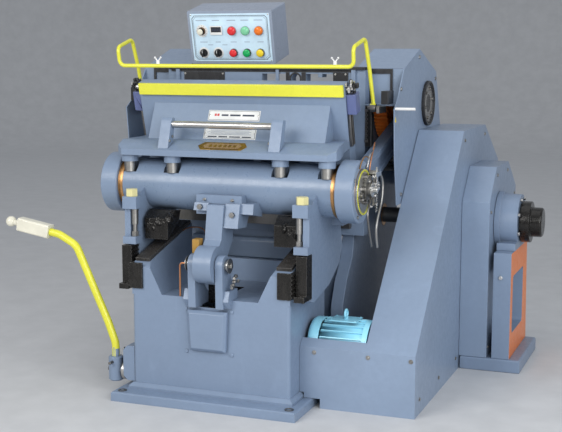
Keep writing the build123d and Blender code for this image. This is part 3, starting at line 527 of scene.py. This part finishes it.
def reface_moving():
    """Unpainted, greasy and differently painted parts of the moving nodes."""
    handle_low, handle_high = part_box("platen_handle")
    handle_x = (handle_low.x + handle_high.x) / 2
    bar_at, bar_r, bar_half = Vector((0.0, 0.181, 1.101)), 0.0146, 0.222
    reface("platen_handle", "steel",
           lambda c: off_axis(c, bar_at) < bar_r and abs(c.x - handle_x) < bar_half)
    tab_x, tab_high = 0.4685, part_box("gauge_blocks")[0].z + 0.135
    reface("gauge_blocks", "dark_steel", lambda c: abs(c.x) < tab_x and c.z < tab_high)
    ledge_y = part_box("platen")[0].y + 0.2
    reface("name_plates", "gold", lambda c: c.y < ledge_y and c.z < PANEL_LOW.z)
    tube_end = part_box("platen_tube")[1].x
    reface("platen_tube", "bronze", lambda c: abs(c.x) > tube_end - 0.0008)
    socket_high, stub_x = 0.1485, -0.4145
    reface("lever_rod", "casting", lambda c: c.z < socket_high and c.x < stub_x)
    reface("lever_rod", "steel", lambda c: c.x > stub_x)
    pin_near, pin_far, rod_in, rod_out = 0.86, 0.975, 0.4795, 0.5405
    reface("connecting_rods", "dark_steel",
           lambda c: pin_near < off_axis(c, tube_at) < pin_far and not rod_in <= abs(c.x) <= rod_out)
    guard_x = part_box("gear_guards")[1].x
    reface("crank_shaft", "grease", lambda c: abs(c.x) > guard_x)
    reface("motor_pulley", "steel", lambda c: off_axis(c, motor_at) < 0.0195)
    reface("impression_shaft", "bolt", lambda c: c.x > 0.5565)
    reface("safety_bar", "dark_steel", lambda c: c.z < 1.181)


# ---- control panel ----
inward = Vector(joints["stop_press"]["axis"]).normalized()
low_row = Vector(joints["mode_selector_turn"]["pos_m"])
upward = (Vector(joints["delay_dial_turn"]["pos_m"]) - low_row).normalized()
ROW_LOW, ROW_TOP = 0.050, 0.145
COLUMNS = (0.064, 0.132, 0.204, 0.266, 0.328)
corner = low_row - Vector((COLUMNS[0], 0.0, 0.0)) - upward * ROW_LOW
PANEL = Matrix.Translation(corner) @ Matrix(((1.0, 0.0, 0.0, 0.0),
                                             (0.0, upward.y, -inward.y, 0.0),
                                             (0.0, upward.z, -inward.z, 0.0),
                                             (0.0, 0.0, 0.0, 1.0)))
FACE = 0.0021          # front of the panel sheet, along the panel's outward axis
PRINT = 0.0003         # height of printed bars and lines

DIAL_DISC = [(0.0270, 0.0), (0.0270, 0.0008), (0.0262, 0.0012)]
SELECTOR_DISC = [(0.0240, 0.0), (0.0240, 0.0007), (0.0235, 0.0010)]
LAMP = [(0.0190, 0.0056), (0.0190, 0.0105), (0.0175, 0.0150), (0.0145, 0.0180), (0.0085, 0.0198),
        (0.0020, 0.0203)]
LAMP_COLLAR = [(0.0200, FACE), (0.0200, 0.0045), (0.0190, 0.0060)]
BUTTON_COLLAR = [(0.0185, FACE), (0.0185, 0.0040), (0.0175, 0.0055)]
BUTTON_CAP = [(0.0100, 0.0122), (0.0164, 0.0128), (0.0164, 0.0160), (0.0150, 0.0184), (0.0110, 0.0200),
              (0.0030, 0.0206)]
DIAL_FACE = [(0.0128, 0.0240), (0.0128, 0.0252), (0.0115, 0.0262), (0.0040, 0.0266)]
PANEL_SCREW = [(0.0030, 0.0), (0.0030, 0.0010), (0.0020, 0.0018)]


def on_panel(x, y, z=FACE):
    """Place on the control panel: x to the right, y up, z outward."""
    return PANEL @ Matrix.Translation((x, y, z))


def make_panel_print():
    """Double border line, label bars, scales and discs of the control panel."""
    x0, x1, y0, y1, notch = 0.022, 0.369, 0.021, 0.210, 0.012
    loop = [(x0 + notch, y0), (x1 - notch, y0), (x1 - notch, y0 + 0.004), (x1, y0 + notch), (x1, y1 - notch),
            (x1 - notch, y1), (x0 + notch, y1), (x0, y1 - notch), (x0, y0 + notch), (x0 + notch, y0)]
    mid_x, mid_y, gap = 0.19, 0.115, 0.005
    inner = [(x + gap * (1 if x < mid_x else -1), y + gap * (1 if y < mid_y else -1)) for x, y in loop]
    bm = bmesh.new()
    add_strip(bm, loop, 0.0022, on_panel(0, 0))
    add_strip(bm, inner, 0.0009, on_panel(0, 0))
    piece("panel_border", bm, "frame", "ink", smooth=10)

    bm = bmesh.new()
    over_top, over_low, under_low = 0.190, 0.0965, 0.084
    for x, width in zip(COLUMNS, (0.050, 0.034, 0.040, 0.036, 0.040)):
        add_bars(bm, [(x, over_top, width, 0.0030), (x + 0.003, over_low, width * 0.7, 0.0028)],
                 PRINT, on_panel(0, 0))
    add_bars(bm, [(x, under_low, 0.024, 0.0026) for x in (0.098, 0.165)], PRINT, on_panel(0, 0))
    piece("panel_labels", bm, "frame", "label", smooth=10)

    bm = bmesh.new()
    add_turned(bm, DIAL_DISC, on_panel(COLUMNS[0], ROW_TOP), 48)
    for column in COLUMNS[:2]:
        add_turned(bm, SELECTOR_DISC, on_panel(column, ROW_LOW), 48)
    x, y = COLUMNS[1], ROW_TOP + 0.003
    half, slot_low, slot_high, sill = 0.0275, 0.0085, 0.0145, 0.0195
    left, right, post = x - half, x + half, 0.004
    for bar in ((left, right, y + slot_high, y + sill), (left, right, y - sill, y - slot_low),
                (left, left + post, y - slot_low, y + slot_high),
                (right - post, right, y - slot_low, y + slot_high)):
        add_box(bm, *bar, 0.0055, 0.0085, on_panel(0, 0, 0))
    piece("panel_discs", bm, "frame", "white", 0.0003)

    bm = bmesh.new()
    for i in range(11):
        turn = Matrix.Rotation(math.radians(-150 + 30 * i), 4, "Z")
        at = on_panel(COLUMNS[0], ROW_TOP, FACE + DIAL_DISC[-1][1]) @ turn
        add_bars(bm, [(0.0, 0.0225, 0.0010, 0.0040)], 0.0002, at)
    digit_low, digit_high, pitch = -0.0185, -0.0135, 0.0082
    for i in range(5):
        add_box(bm, x + digit_low + pitch * i, x + digit_high + pitch * i, y - 0.0045, y + 0.0085,
                0.0078, 0.0084, on_panel(0, 0, 0))
    piece("panel_marks", bm, "frame", "ink", smooth=10)


def make_panel_controls():
    """Lamps, collars, button caps, selector lines, dial face and screws of the control panel."""
    for x, look in zip(COLUMNS[2:], ("red", "mint", "amber")):
        bm = bmesh.new()
        add_turned(bm, LAMP, on_panel(x, ROW_TOP, 0), 48)
        piece(f"lamp_{look}", bm, "frame", look, smooth=50)
    bm = bmesh.new()
    for x in COLUMNS[2:]:
        add_turned(bm, LAMP_COLLAR, on_panel(x, ROW_TOP, 0), 48)
        add_turned(bm, BUTTON_COLLAR, on_panel(x, ROW_LOW, 0), 48)
    piece("lamp_collars", bm, "frame", "bolt", smooth=50)

    for x, name, look in zip(COLUMNS[2:], ("stop", "start", "inch"), ("red", "green", "yellow_plastic")):
        bm = bmesh.new()
        add_turned(bm, BUTTON_CAP, on_panel(x, ROW_LOW, 0), 48)
        piece(f"{name}_cap", bm, f"{name}_button_body", look, smooth=50)

    for x, name in zip(COLUMNS, ("mode_selector", "speed_selector")):
        bm = bmesh.new()
        add_box(bm, -0.0010, 0.0010, 0.002, 0.0140, 0.0240, 0.0244, on_panel(x, ROW_LOW, 0))
        piece(f"{name}_line", bm, f"{name}_body", "white", smooth=10)
    bm = bmesh.new()
    add_turned(bm, DIAL_FACE, on_panel(COLUMNS[0], ROW_TOP, 0), 40)
    piece("delay_dial_face", bm, "delay_dial_body", "ivory", smooth=50)

    bm = bmesh.new()
    for x in (0.017, 0.374):
        for y in (0.017, 0.214):
            add_turned(bm, PANEL_SCREW, on_panel(x, y), 20)
    piece("panel_screws", bm, "frame", "bright", smooth=50)


# ---- plates without lettering ----
PANEL_LOW = Vector((0.0, 0.258, 1.036))       # foot and head of the platen's raised panel
PANEL_HIGH = Vector((0.0, 0.323, 1.181))
PANEL_SLOPE = math.atan2(PANEL_HIGH.z - PANEL_LOW.z, PANEL_HIGH.y - PANEL_LOW.y)
ON_SLOPE = Matrix.Translation(PANEL_LOW) @ Matrix.Rotation(PANEL_SLOPE, 4, "X")
LEDGE_SLOPE = math.atan2(0.034, 0.070)
ON_LEDGE = Matrix.Translation((0.0, 0.120, 1.000)) @ Matrix.Rotation(LEDGE_SLOPE, 4, "X")
PLATE_TOP = Matrix.Translation((0.0, 0.0, 0.00205))
RIVET = [(0.0035, 0.0), (0.0035, 0.0010), (0.0020, 0.0022)]


def make_plate_marks():
    """Border lines, plain bars and rivets on the three plates."""
    on_plates = ON_SLOPE @ PLATE_TOP
    on_gold = ON_LEDGE @ PLATE_TOP
    bm = bmesh.new()
    edge = 0.004
    for x0, x1, low, high in ((-0.133, 0.097, 0.084, 0.130), (-0.140, 0.092, 0.004, 0.055)):
        left, right, bottom, top = x0 + edge, x1 - edge, low + edge, high - edge
        loop = [(left, bottom), (right, bottom), (right, top), (left, top), (left, bottom)]
        add_strip(bm, loop, 0.0014, on_plates, PRINT)
    title = [(x, 0.108, width, 0.0075) for x, width in ((-0.058, 0.030), (-0.012, 0.046), (0.046, 0.052))]
    foot = [(x, 0.014, width, 0.0048)
            for x, width in ((-0.100, 0.040), (-0.052, 0.038), (0.000, 0.048), (0.052, 0.040))]
    add_bars(bm, title + foot, PRINT, on_plates)
    piece("plate_print", bm, "platen_assembly", "ink", smooth=10)
    bm = bmesh.new()
    lines = [(-0.024, 0.0465 - 0.0055 * i, 0.19 - 0.02 * (i % 2), 0.0016) for i in range(5)]
    add_bars(bm, lines, PRINT, on_plates)
    piece("plate_fine_print", bm, "platen_assembly", "label", smooth=10)
    bm = bmesh.new()
    add_bars(bm, [(x, 0.109, 0.009, 0.010) for x in (-0.100, -0.088)], 0.0005, on_plates)
    piece("plate_red_print", bm, "platen_assembly", "red_ink", smooth=10)

    bm = bmesh.new()
    field = [(-0.092, 0.043), (-0.080, 0.024), (0.062, 0.024), (0.075, 0.043), (0.062, 0.062),
             (-0.080, 0.062)]
    add_plate(bm, field, 0.0004, on_gold)
    piece("ledge_plate_field", bm, "platen_assembly", "brown", smooth=10)
    bm = bmesh.new()
    add_bars(bm, [(-0.060 + 0.021 * i, 0.043, 0.013, 0.018) for i in range(6)], 0.0007, on_gold)
    piece("ledge_plate_blocks", bm, "platen_assembly", "gold", smooth=10)

    bm = bmesh.new()
    for x, y in ((-0.126, 0.107), (0.090, 0.107), (-0.133, 0.030), (0.086, 0.030)):
        add_turned(bm, RIVET, on_plates @ Matrix.Translation((x, y, 0)), 16)
    piece("plate_rivets", bm, "platen_assembly", "bright", smooth=50)


# ---- fittings of the platen ----
def make_tube_rings():
    """Bronze collars at both ends of the platen tube."""
    collar = [(0.1052, -0.013), (0.1064, -0.012), (0.1068, -0.004), (0.1085, -0.003), (0.1085, 0.000),
              (0.1052, 0.0012)]
    bm = bmesh.new()
    for side in (-1, 1):
        add_turned(bm, collar, along((side, 0, 0), (side * 0.4655, tube_at.y, tube_at.z)), 72)
    piece("tube_collars", bm, "platen_assembly", "bronze", smooth=40)


def make_grease_lumps():
    """Wet grease and swarf packed round the platen slides."""
    for name, side, lumps in (("left", -1, 5), ("right", 1, 3)):
        bm = bmesh.new()
        for i in range(lumps):
            start = len(bm.verts)
            bmesh.ops.create_icosphere(bm, subdivisions=4, radius=1.0)
            bm.verts.ensure_lookup_table()
            odd = i % 2
            x, y, z = 0.318 - 0.021 * i, 0.130 + 0.004 * odd, 0.694 + 0.006 * i - 0.012 * odd
            centre = Vector((side * x, y, z))
            size = Vector((0.022, 0.028, 0.031 - 0.002 * i))
            shift = Vector((rng.uniform(0, 50), rng.uniform(0, 50), rng.uniform(0, 50)))
            for vert in bm.verts[start:]:
                lump = 1.0 + 0.30 * noise.fractal(vert.co * 2.1 + shift, 1.0, 2.0, 4)
                vert.co = centre + Vector(a * b * lump for a, b in zip(vert.co, size))
        piece(f"grease_{name}", bm, "platen_assembly", "grease", smooth=180)


def make_saddle_fittings():
    """Grease nipples on the arm saddle and bolts in the feet of the platen's handle."""
    nipple = [(0.006, 0.0), (0.006, 0.004), (0.003, 0.006), (0.003, 0.012), (0.0045, 0.013)]
    bm = bmesh.new()
    for x in (-0.060, 0.060):
        add_turned(bm, nipple, along((0, -1, 0), (x, 0.100, 0.812)), 18)
    for x, side in ((-0.2378, 1), (0.1978, -1)):
        add_heads(bm, side, x, ((0.146, 1.036), (0.172, 1.052)), 0.011, 0.005)
    piece("platen_small_bolts", bm, "platen_assembly", "bolt", 0.0004)


def make_switches():
    """Limit switches, stops and small clamps at the upper corners of the platen."""
    lean = (Matrix.Translation(pin_at) @ Matrix.Rotation(math.radians(15.8), 4, "X")
            @ Matrix.Translation(-pin_at))
    knob = [(0.011, 0.0), (0.011, 0.018), (0.006, 0.020), (0.006, 0.034), (0.004, 0.036)]
    post = [(0.007, 0.0), (0.007, 0.026), (0.011, 0.028), (0.011, 0.036), (0.008, 0.040)]
    bright = bmesh.new()
    dark = bmesh.new()
    for side in (-1, 1):
        for i in range(16):
            x = side * rng.uniform(0.456, 0.494)
            z = rng.uniform(1.108, 1.165)
            y = rng.uniform(0.474, 0.520)
            size = rng.uniform(0.004, 0.010)
            target = bright if i % 2 else dark
            x0, x1 = sorted((x, x + side * size))
            add_box(target, x0, x1, y, y + 2 * size, z - size, z + size, lean)
        add_turned(bright, knob, lean @ along((side, 0, 0), (side * 0.4555, 0.500, 1.132)), 24)
        add_turned(dark, post, lean @ along((0, 0, 1), (side * 0.482, 0.512, 1.1125)), 24)
    piece("corner_fittings_bright", bright, "platen_assembly", "bright", 0.0008)
    piece("corner_fittings_dark", dark, "platen_assembly", "black_iron", 0.0008)


# ---- fittings of the impression shaft and the rods ----
EYE_Y, EYE_Z = tube_at.y + 0.022, tube_at.z + 0.008       # hub of the ratchet wheel
HUB_X = 0.584


def make_eye_pipes():
    """Rigid grease pipes, face and small parts at the right end of the impression shaft."""
    y, z = tube_at.y, tube_at.z
    long_pipe = [(0.586, y + 0.080, z + 0.078), (0.590, y + 0.150, z + 0.050), (0.591, y + 0.140, z - 0.040),
                 (0.589, y + 0.075, z - 0.115), (0.588, y + 0.060, z - 0.170), (0.588, y + 0.085, z - 0.230)]
    low_pipe = [(0.585, y + 0.010, z - 0.020), (0.588, y - 0.060, z - 0.060), (0.588, y - 0.040, z - 0.130),
                (0.586, y + 0.012, z - 0.215)]
    tube("eye_pipe_long", long_pipe, 0.0058, "impression_eccentric", "bolt")
    tube("eye_pipe_low", low_pipe, 0.0046, "impression_eccentric", "dark_steel")
    bm = bmesh.new()
    face = [(0.060, 0.0), (0.060, 0.0020), (0.057, 0.0028)]
    add_turned(bm, face, along((1, 0, 0), (0.5562, y - 0.012, z - 0.008)), 56)
    piece("eye_face", bm, "impression_eccentric", "steel", smooth=40)
    bm = bmesh.new()
    stub = [(0.006, 0.0), (0.006, 0.008), (0.004, 0.009), (0.004, 0.014)]
    for i in range(12):
        angle = rng.uniform(0, 2 * math.pi)
        reach = rng.uniform(0.02, 0.075)
        place = (HUB_X, EYE_Y + reach * math.cos(angle), EYE_Z + reach * math.sin(angle))
        at = along((1, rng.uniform(-0.2, 0.2), rng.uniform(-0.2, 0.2)), place)
        if i % 3:
            add_hex(bm, at, rng.uniform(0.007, 0.013), rng.uniform(0.004, 0.012))
        else:
            add_turned(bm, stub, at, 18)
    piece("eye_clutter", bm, "impression_eccentric", "bright", 0.0005)


def make_ratchet_details():
    """Index rings with marks, studs, levers, bosses and a spring at the impression shaft's ends."""
    y, z = tube_at.y, tube_at.z
    bm = bmesh.new()
    for side in (-1, 1):
        add_ring(bm, along((side, 0, 0), (side * 0.556, y, z)), 0.090, 0.082, 0.0, 0.0022)
    piece("index_rings", bm, "impression_eccentric", "yellow", 0.0004)
    bm = bmesh.new()
    for i in range(60):
        at = along((1, 0, 0), (0.5582, y, z)) @ Matrix.Rotation(math.radians(6 * i), 4, "Z")
        add_box(bm, 0.0835, 0.0885, -0.0006, 0.0006, 0.0, 0.0004, at)
    piece("index_marks", bm, "impression_eccentric", "ink", smooth=10)

    bm = bmesh.new()
    add_heads(bm, 1, HUB_X, around(EYE_Y, EYE_Z, 0.018, 10, 45, 8), 0.008, 0.004)
    hub = [(0.030, 0.0), (0.030, 0.003), (0.012, 0.006), (0.012, 0.020), (0.009, 0.023)]
    add_turned(bm, hub, along((1, 0, 0), (HUB_X, EYE_Y, EYE_Z)), 40)
    add_box(bm, 0.586, 0.592, y + 0.060, y + 0.074, z - 0.010, z + 0.094)
    add_box(bm, 0.592, 0.597, y + 0.030, y + 0.100, z + 0.058, z + 0.076)
    add_heads(bm, 1, 0.592, [(y + 0.067, z + 0.010)], 0.013, 0.008)
    piece("ratchet_studs", bm, "impression_eccentric", "bright", 0.0008)
    bm = bmesh.new()
    for boss_y, boss_z in around(y - 0.010, z + 0.010, 0.050, 200, 24, 7):
        size = rng.uniform(0.006, 0.011)
        boss = [(size, 0.0), (size, rng.uniform(0.004, 0.012)), (size * 0.6, 0.014)]
        add_turned(bm, boss, along((1, 0, 0), (0.558, boss_y, boss_z)), 18)
    piece("ratchet_bosses", bm, "impression_eccentric", "dark_steel", smooth=40)

    coil_r, step, pitch = 0.005, 0.62, 0.00095
    spring = [(0.587 + coil_r * math.cos(step * i),
               y + 0.072 + coil_r * math.sin(step * i),
               z - 0.012 - pitch * i) for i in range(80)]
    tube("ratchet_spring", spring, 0.0011, "impression_eccentric", "bright")


def make_rod_lines():
    """Oil lines along the right connecting rod and screws round both rod eyes."""
    upper = [(0.5505, 0.330, 0.918), (0.5530, 0.348, 0.972), (0.5515, 0.385, 1.004), (0.5440, 0.430, 1.030)]
    inner = [(0.5510, 0.303, 0.942), (0.5535, 0.320, 0.985), (0.5510, 0.365, 0.996), (0.5450, 0.440, 1.018)]
    lower = [(0.5505, 0.205, 0.945), (0.5520, 0.235, 0.985), (0.5520, 0.300, 0.988), (0.5505, 0.345, 0.972)]
    tube("rod_line_copper", upper, 0.0030, "rods", "copper")
    tube("rod_line_steel", inner, 0.0034, "rods", "bright")
    tube("rod_line_low", lower, 0.0026, "rods", "bronze")
    bm = bmesh.new()
    for side in (-1, 1):
        add_heads(bm, side, side * 0.547, around(tube_at.y, tube_at.z, 0.108, 60, 90, 4), 0.012, 0.005)
    piece("eye_screws", bm, "rods", "bolt", 0.0006)


# ---- fittings of the frame ----
def make_bed_fittings():
    """Dark cover plates, a thin black strip of painted shadow under the safety bar, channel and screws at the
    top and right of the bed.
    """
    bed_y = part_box("bed")[0].y + 0.012
    behind, proud = bed_y - 0.004, bed_y + 0.0005
    cover_low, cover_high = 1.250, 1.306
    bm = bmesh.new()
    add_box(bm, -0.377, -0.183, behind, proud, 1.256, cover_high)
    # painted shadow: a thin black strip along the bed's top front, where the safety bar casts its shadow
    add_box(bm, -0.440, 0.393, bed_y - 0.003, proud, 1.307, 1.3175)
    for x0, x1 in ((0.1020, 0.1175), (0.1725, 0.1915), (0.3140, 0.3800)):
        add_box(bm, x0, x1, behind, proud, cover_low, cover_high)
    add_ring(bm, along((0, -1, 0), (0.145, bed_y, 1.279)), 0.0275, 0.0205, 0.0, 0.004, 40)
    piece("bed_covers_and_shadow_strip", bm, "frame", "black_trim", 0.0006)
    bm = bmesh.new()
    add_box(bm, 0.4560, 0.4840, 0.5830, 0.5900, 1.000, 1.168)
    add_box(bm, 0.4840, 0.4900, 0.5600, 0.5900, 1.000, 1.168)
    piece("bed_channel", bm, "frame", "black_iron", 0.001)
    bm = bmesh.new()
    for x in (-0.370, -0.190, 0.325, 0.370):
        add_hex(bm, along((0, -1, 0), (x, behind, 1.299)), 0.009, 0.004)
    piece("bed_cover_screws", bm, "frame", "bolt", 0.0004)


def make_wing_nuts():
    """Two wing nuts on studs on top of the safety bar."""
    bar_y, bar_z = 0.245, 1.336
    bm = bmesh.new()
    for x in (-0.334, 0.434):
        stud = [(0.0075, 0.007), (0.0075, 0.020), (0.005, 0.023)]
        add_turned(bm, stud, along((0, 0, 1), (x, bar_y, bar_z)), 20)
        for side in (-1, 1):
            at = Matrix.Translation((x, bar_y, bar_z + 0.017))
            at = at @ Matrix.Rotation(side * math.radians(38), 4, "Y")
            add_box(bm, -0.0024, 0.0024, -0.002, 0.002, 0.003, 0.021, at)
            add_turned(bm, [(0.0042, -0.002), (0.0042, 0.002)], at @ along((0, 1, 0), (0.0, 0.0, 0.021)), 16)
    piece("wing_nuts", bm, "safety_bar_body", "white", 0.0008)


def make_bed_chain():
    """Hanging chain between two lugs beside the bed."""
    wall_y, first_z, pitch = 0.580, 1.030, 0.0085
    upright = Matrix.Rotation(math.radians(90), 4, "X")
    bm = bmesh.new()
    for i in range(14):
        link = Matrix.Translation((0.462, wall_y, first_z + pitch * i))
        link = link @ Matrix.Rotation(math.radians(90 * (i % 2)), 4, "Z") @ upright
        add_ring(bm, link, 0.0058, 0.0030, -0.0011, 0.0011, 12)
    for low in (1.146, 1.018):
        add_box(bm, 0.4555, 0.470, wall_y - 0.003, wall_y + 0.006, low, low + 0.010)
    piece("bed_chain", bm, "frame", "dark_steel", smooth=40)


def make_pin_fittings():
    """Greasy wall of the oil sump, caps of the rocking pin and small parts of its distributor."""
    bm = bmesh.new()
    add_box(bm, -0.0415, 0.0415, 0.085, 0.088, 0.397, 0.470)
    piece("sump_wall", bm, "frame", "grease", 0.0006)
    bm = bmesh.new()
    for _ in range(9):
        place = (rng.uniform(0.0962, 0.104), rng.uniform(-0.012, 0.052), rng.uniform(0.478, 0.545))
        at = along((1, rng.uniform(-0.3, 0.3), rng.uniform(-0.3, 0.3)), place)
        add_hex(bm, at, rng.uniform(0.009, 0.016), 0.010)
    cap = [(0.030, 0.0), (0.030, 0.003), (0.026, 0.004)]
    for side in (-1, 1):
        add_turned(bm, cap, along((side, 0, 0), (side * 0.0881, pin_at.y, pin_at.z)), 32)
        add_heads(bm, side, side * 0.0921, [(pin_at.y, pin_at.z)], 0.020, 0.009)
    piece("pin_caps", bm, "frame", "bolt", 0.0006)


def make_guard_fittings():
    """Sticker and screws of the sheet guards, lip and bolts of the crank bearing."""
    guard_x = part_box("gear_guards")[1].x
    belt_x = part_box("belt_guard")[1].x
    clutch_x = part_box("clutch_guard")[1].x
    front_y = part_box("belt_guard")[0].y
    bm = bmesh.new()
    at = along((1, 0, 0), (guard_x + 0.0002, 0.520, 1.119)) @ Matrix.Rotation(math.radians(90), 4, "Z")
    add_plate(bm, [(-0.013, -0.011), (0.013, -0.011), (0.0, 0.012)], 0.0004, at)
    piece("guard_sticker", bm, "frame", "yellow_plastic", smooth=10)

    on_gear = ((0.62, 0.80), (0.60, 1.24), (0.90, 1.37), (1.20, 1.27), (1.28, 1.00))
    on_belt = ((0.18, 0.06), (0.50, 0.06), (0.82, 0.06), (1.66, 0.06), (1.66, 0.80), (0.92, 1.01),
               (1.36, 1.01))
    on_clutch = ((0.92, 0.10), (1.50, 0.10), (1.50, 0.72), (1.05, 0.85), (1.30, 0.85), (0.92, 0.70))
    bm = bmesh.new()
    for side in (-1, 1):
        add_heads(bm, side, side * guard_x, on_gear, 0.012, 0.005, 0.0095)
    add_heads(bm, 1, belt_x, on_belt, 0.011, 0.005, 0.009)
    add_heads(bm, 1, clutch_x, on_clutch, 0.011, 0.005, 0.009)
    for x in (0.40, 0.62, 0.79):
        add_hex(bm, along((0, -1, 0), (x, front_y, 0.225)), 0.011, 0.005, 0.009)
    piece("guard_screws", bm, "frame", "bolt", 0.0005)

    bm = bmesh.new()
    add_ring(bm, along((1, 0, 0), (guard_x + 0.0128, crank_at.y, crank_at.z)), 0.099, 0.091, 0.0, 0.0025)
    piece("bearing_lip", bm, "frame", "grease", 0.0006)
    bm = bmesh.new()
    add_heads(bm, 1, guard_x + 0.008, around(crank_at.y, crank_at.z, 0.066, 15, 60, 6), 0.013, 0.006)
    piece("bearing_bolts", bm, "frame", "dark_steel", 0.0006)


def make_floor_fittings():
    """Oil pipe, anchor washers, bolts of the hand lever and its bracket, pad and screws of the motor."""
    cheek_pipe = [(-0.270, 0.330, 0.640), (-0.262, 0.352, 0.652), (-0.205, 0.400, 0.648),
                  (-0.196, 0.412, 0.600), (-0.200, 0.412, 0.530)]
    tube("cheek_oil_pipe", cheek_pipe, 0.0028, "frame", "copper")
    bm = bmesh.new()
    base_top = 0.038
    for x in (-0.36, 0.36):
        for y in (-0.062, 1.38):
            add_ring(bm, along((0, 0, 1), (x, y, base_top)), 0.018, 0.0112, 0.0, 0.003, 32)
    piece("anchor_washers", bm, "frame", "dark_steel", 0.0006)

    bm = bmesh.new()
    add_heads(bm, -1, -0.470, [(lever_at.y, lever_at.z)], 0.022, 0.010, 0.015)
    clamp = [(0.006, 0.0), (0.006, 0.026), (0.004, 0.028)]
    add_turned(bm, clamp, along((0, -1, 0), (-0.446, lever_at.y - 0.030, 0.128)), 20)
    piece("lever_pivot_bolt", bm, "hand_lever", "dark_steel", 0.0008)
    bm = bmesh.new()
    add_heads(bm, -1, -0.392, ((0.022, 0.185), (0.080, 0.185), (0.080, 0.075)), 0.014, 0.006, 0.011)
    piece("bracket_bolts", bm, "frame", "bolt", 0.0006)

    bm = bmesh.new()
    y, pad_top = motor_at.y, motor_at.z + 0.101
    add_box(bm, 0.430, 0.545, y - 0.045, y + 0.045, pad_top - 0.005, pad_top)
    for screw_x in (0.438, 0.537):
        for screw_y in (y - 0.037, y + 0.037):
            screw = [(0.004, 0.0), (0.004, 0.002), (0.002, 0.003)]
            add_turned(bm, screw, along((0, 0, 1), (screw_x, screw_y, pad_top)), 16)
    piece("motor_pad", bm, "frame", "motor", 0.001)
    bm = bmesh.new()
    cover_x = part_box("motor_body")[0].x + 0.0035
    for screw_y, screw_z in around(motor_at.y, motor_at.z, 0.060, 90, 120, 3):
        screw = [(0.005, 0.0), (0.005, 0.002), (0.003, 0.0033)]
        add_turned(bm, screw, along((-1, 0, 0), (cover_x, screw_y, screw_z)), 18)
    piece("fan_screws", bm, "frame", "bolt", smooth=50)


# ---- camera, light, floor ----
def make_camera():
    """Camera in front of the machine's right half, a little above its middle."""
    camera = bpy.data.cameras.new("camera")
    camera.lens = 73.67
    camera.sensor_width = 36.0
    eye = bpy.data.objects.new("camera", camera)
    eye.location = (1.8526, -4.0364, 1.400)
    eye.rotation_euler = (math.radians(81.79), 0.0, math.radians(21.0))
    bpy.context.scene.collection.objects.link(eye)
    bpy.context.scene.camera = eye


def add_lamp(name, place, target, size, power, colour=(1.0, 1.0, 1.0)):
    """Rectangular area light that looks at the target."""
    light = bpy.data.lights.new(name, "AREA")
    light.shape = "RECTANGLE"
    light.size, light.size_y = size
    light.energy = power
    light.color = colour
    lamp = bpy.data.objects.new(name, light)
    lamp.location = place
    lamp.rotation_euler = (Vector(target) - Vector(place)).to_track_quat("-Z", "Y").to_euler()
    bpy.context.scene.collection.objects.link(lamp)


def make_lights():
    """Soft sky, a key light from the left and weaker lights from the right and above."""
    world = bpy.data.worlds.new("studio")
    world.use_nodes = True
    sky = world.node_tree.nodes["Background"].inputs
    sky["Color"].default_value = (0.86, 0.90, 0.96, 1.0)
    sky["Strength"].default_value = 0.50
    bpy.context.scene.world = world
    add_lamp("key", (-1.7, -4.2, 3.1), (0.1, 0.4, 0.8), (3.0, 2.2), 146, (1.0, 0.985, 0.96))
    add_lamp("fill", (4.2, -1.8, 2.6), (0.4, 0.6, 0.7), (2.6, 2.6), 88, (0.95, 0.98, 1.0))
    add_lamp("top", (0.3, 0.8, 4.6), (0.2, 0.6, 0.8), (3.0, 3.0), 18)
    add_lamp("side", (2.6, -3.4, 1.5), (0.9, 0.9, 0.5), (1.6, 1.6), 56)


def make_floor():
    """Pale studio floor that bends up into a wall all round."""
    reach, bend, wall, steps = 11.0, 3.0, 4.5, 96
    profile = [(reach, 0.0)]
    for i in range(1, 13):
        angle = math.pi / 24 * i
        profile.append((reach + bend * math.sin(angle), bend - bend * math.cos(angle)))
    profile.append((reach + bend, wall))
    bm = bmesh.new()
    under_machine = Matrix.Translation((0.0, 0.6, 0.0))
    rings = [circle(bm, under_machine, radius, height, steps) for radius, height in profile]
    bm.faces.new(rings[0])
    for low, high in zip(rings, rings[1:]):
        add_band(bm, low, high)
    mesh = mesh_from("floor", bm)
    floor = bpy.data.objects.new("floor", mesh)
    bpy.context.scene.collection.objects.link(floor)
    s = Shader("pale_floor")
    grain = s.noise(7.0, 5.0, 0.6)
    shade = s.mix(s.remap(grain, 0.35, 0.65), (0.56, 0.565, 0.575, 1.0), (0.61, 0.615, 0.625, 1.0))
    mesh.materials.append(s.finish(shade, s.remap(grain, 0.3, 0.7, 0.55, 0.7)))


reface_frame()
reface_moving()
make_panel_print()
make_panel_controls()
make_plate_marks()
make_tube_rings()
make_bed_fittings()
make_wing_nuts()
make_bed_chain()
make_grease_lumps()
make_eye_pipes()
make_saddle_fittings()
make_pin_fittings()
make_ratchet_details()
make_rod_lines()
make_switches()
make_guard_fittings()
make_floor_fittings()
make_camera()
make_lights()
make_floor()
bpy.context.scene.view_settings.view_transform = "Standard"
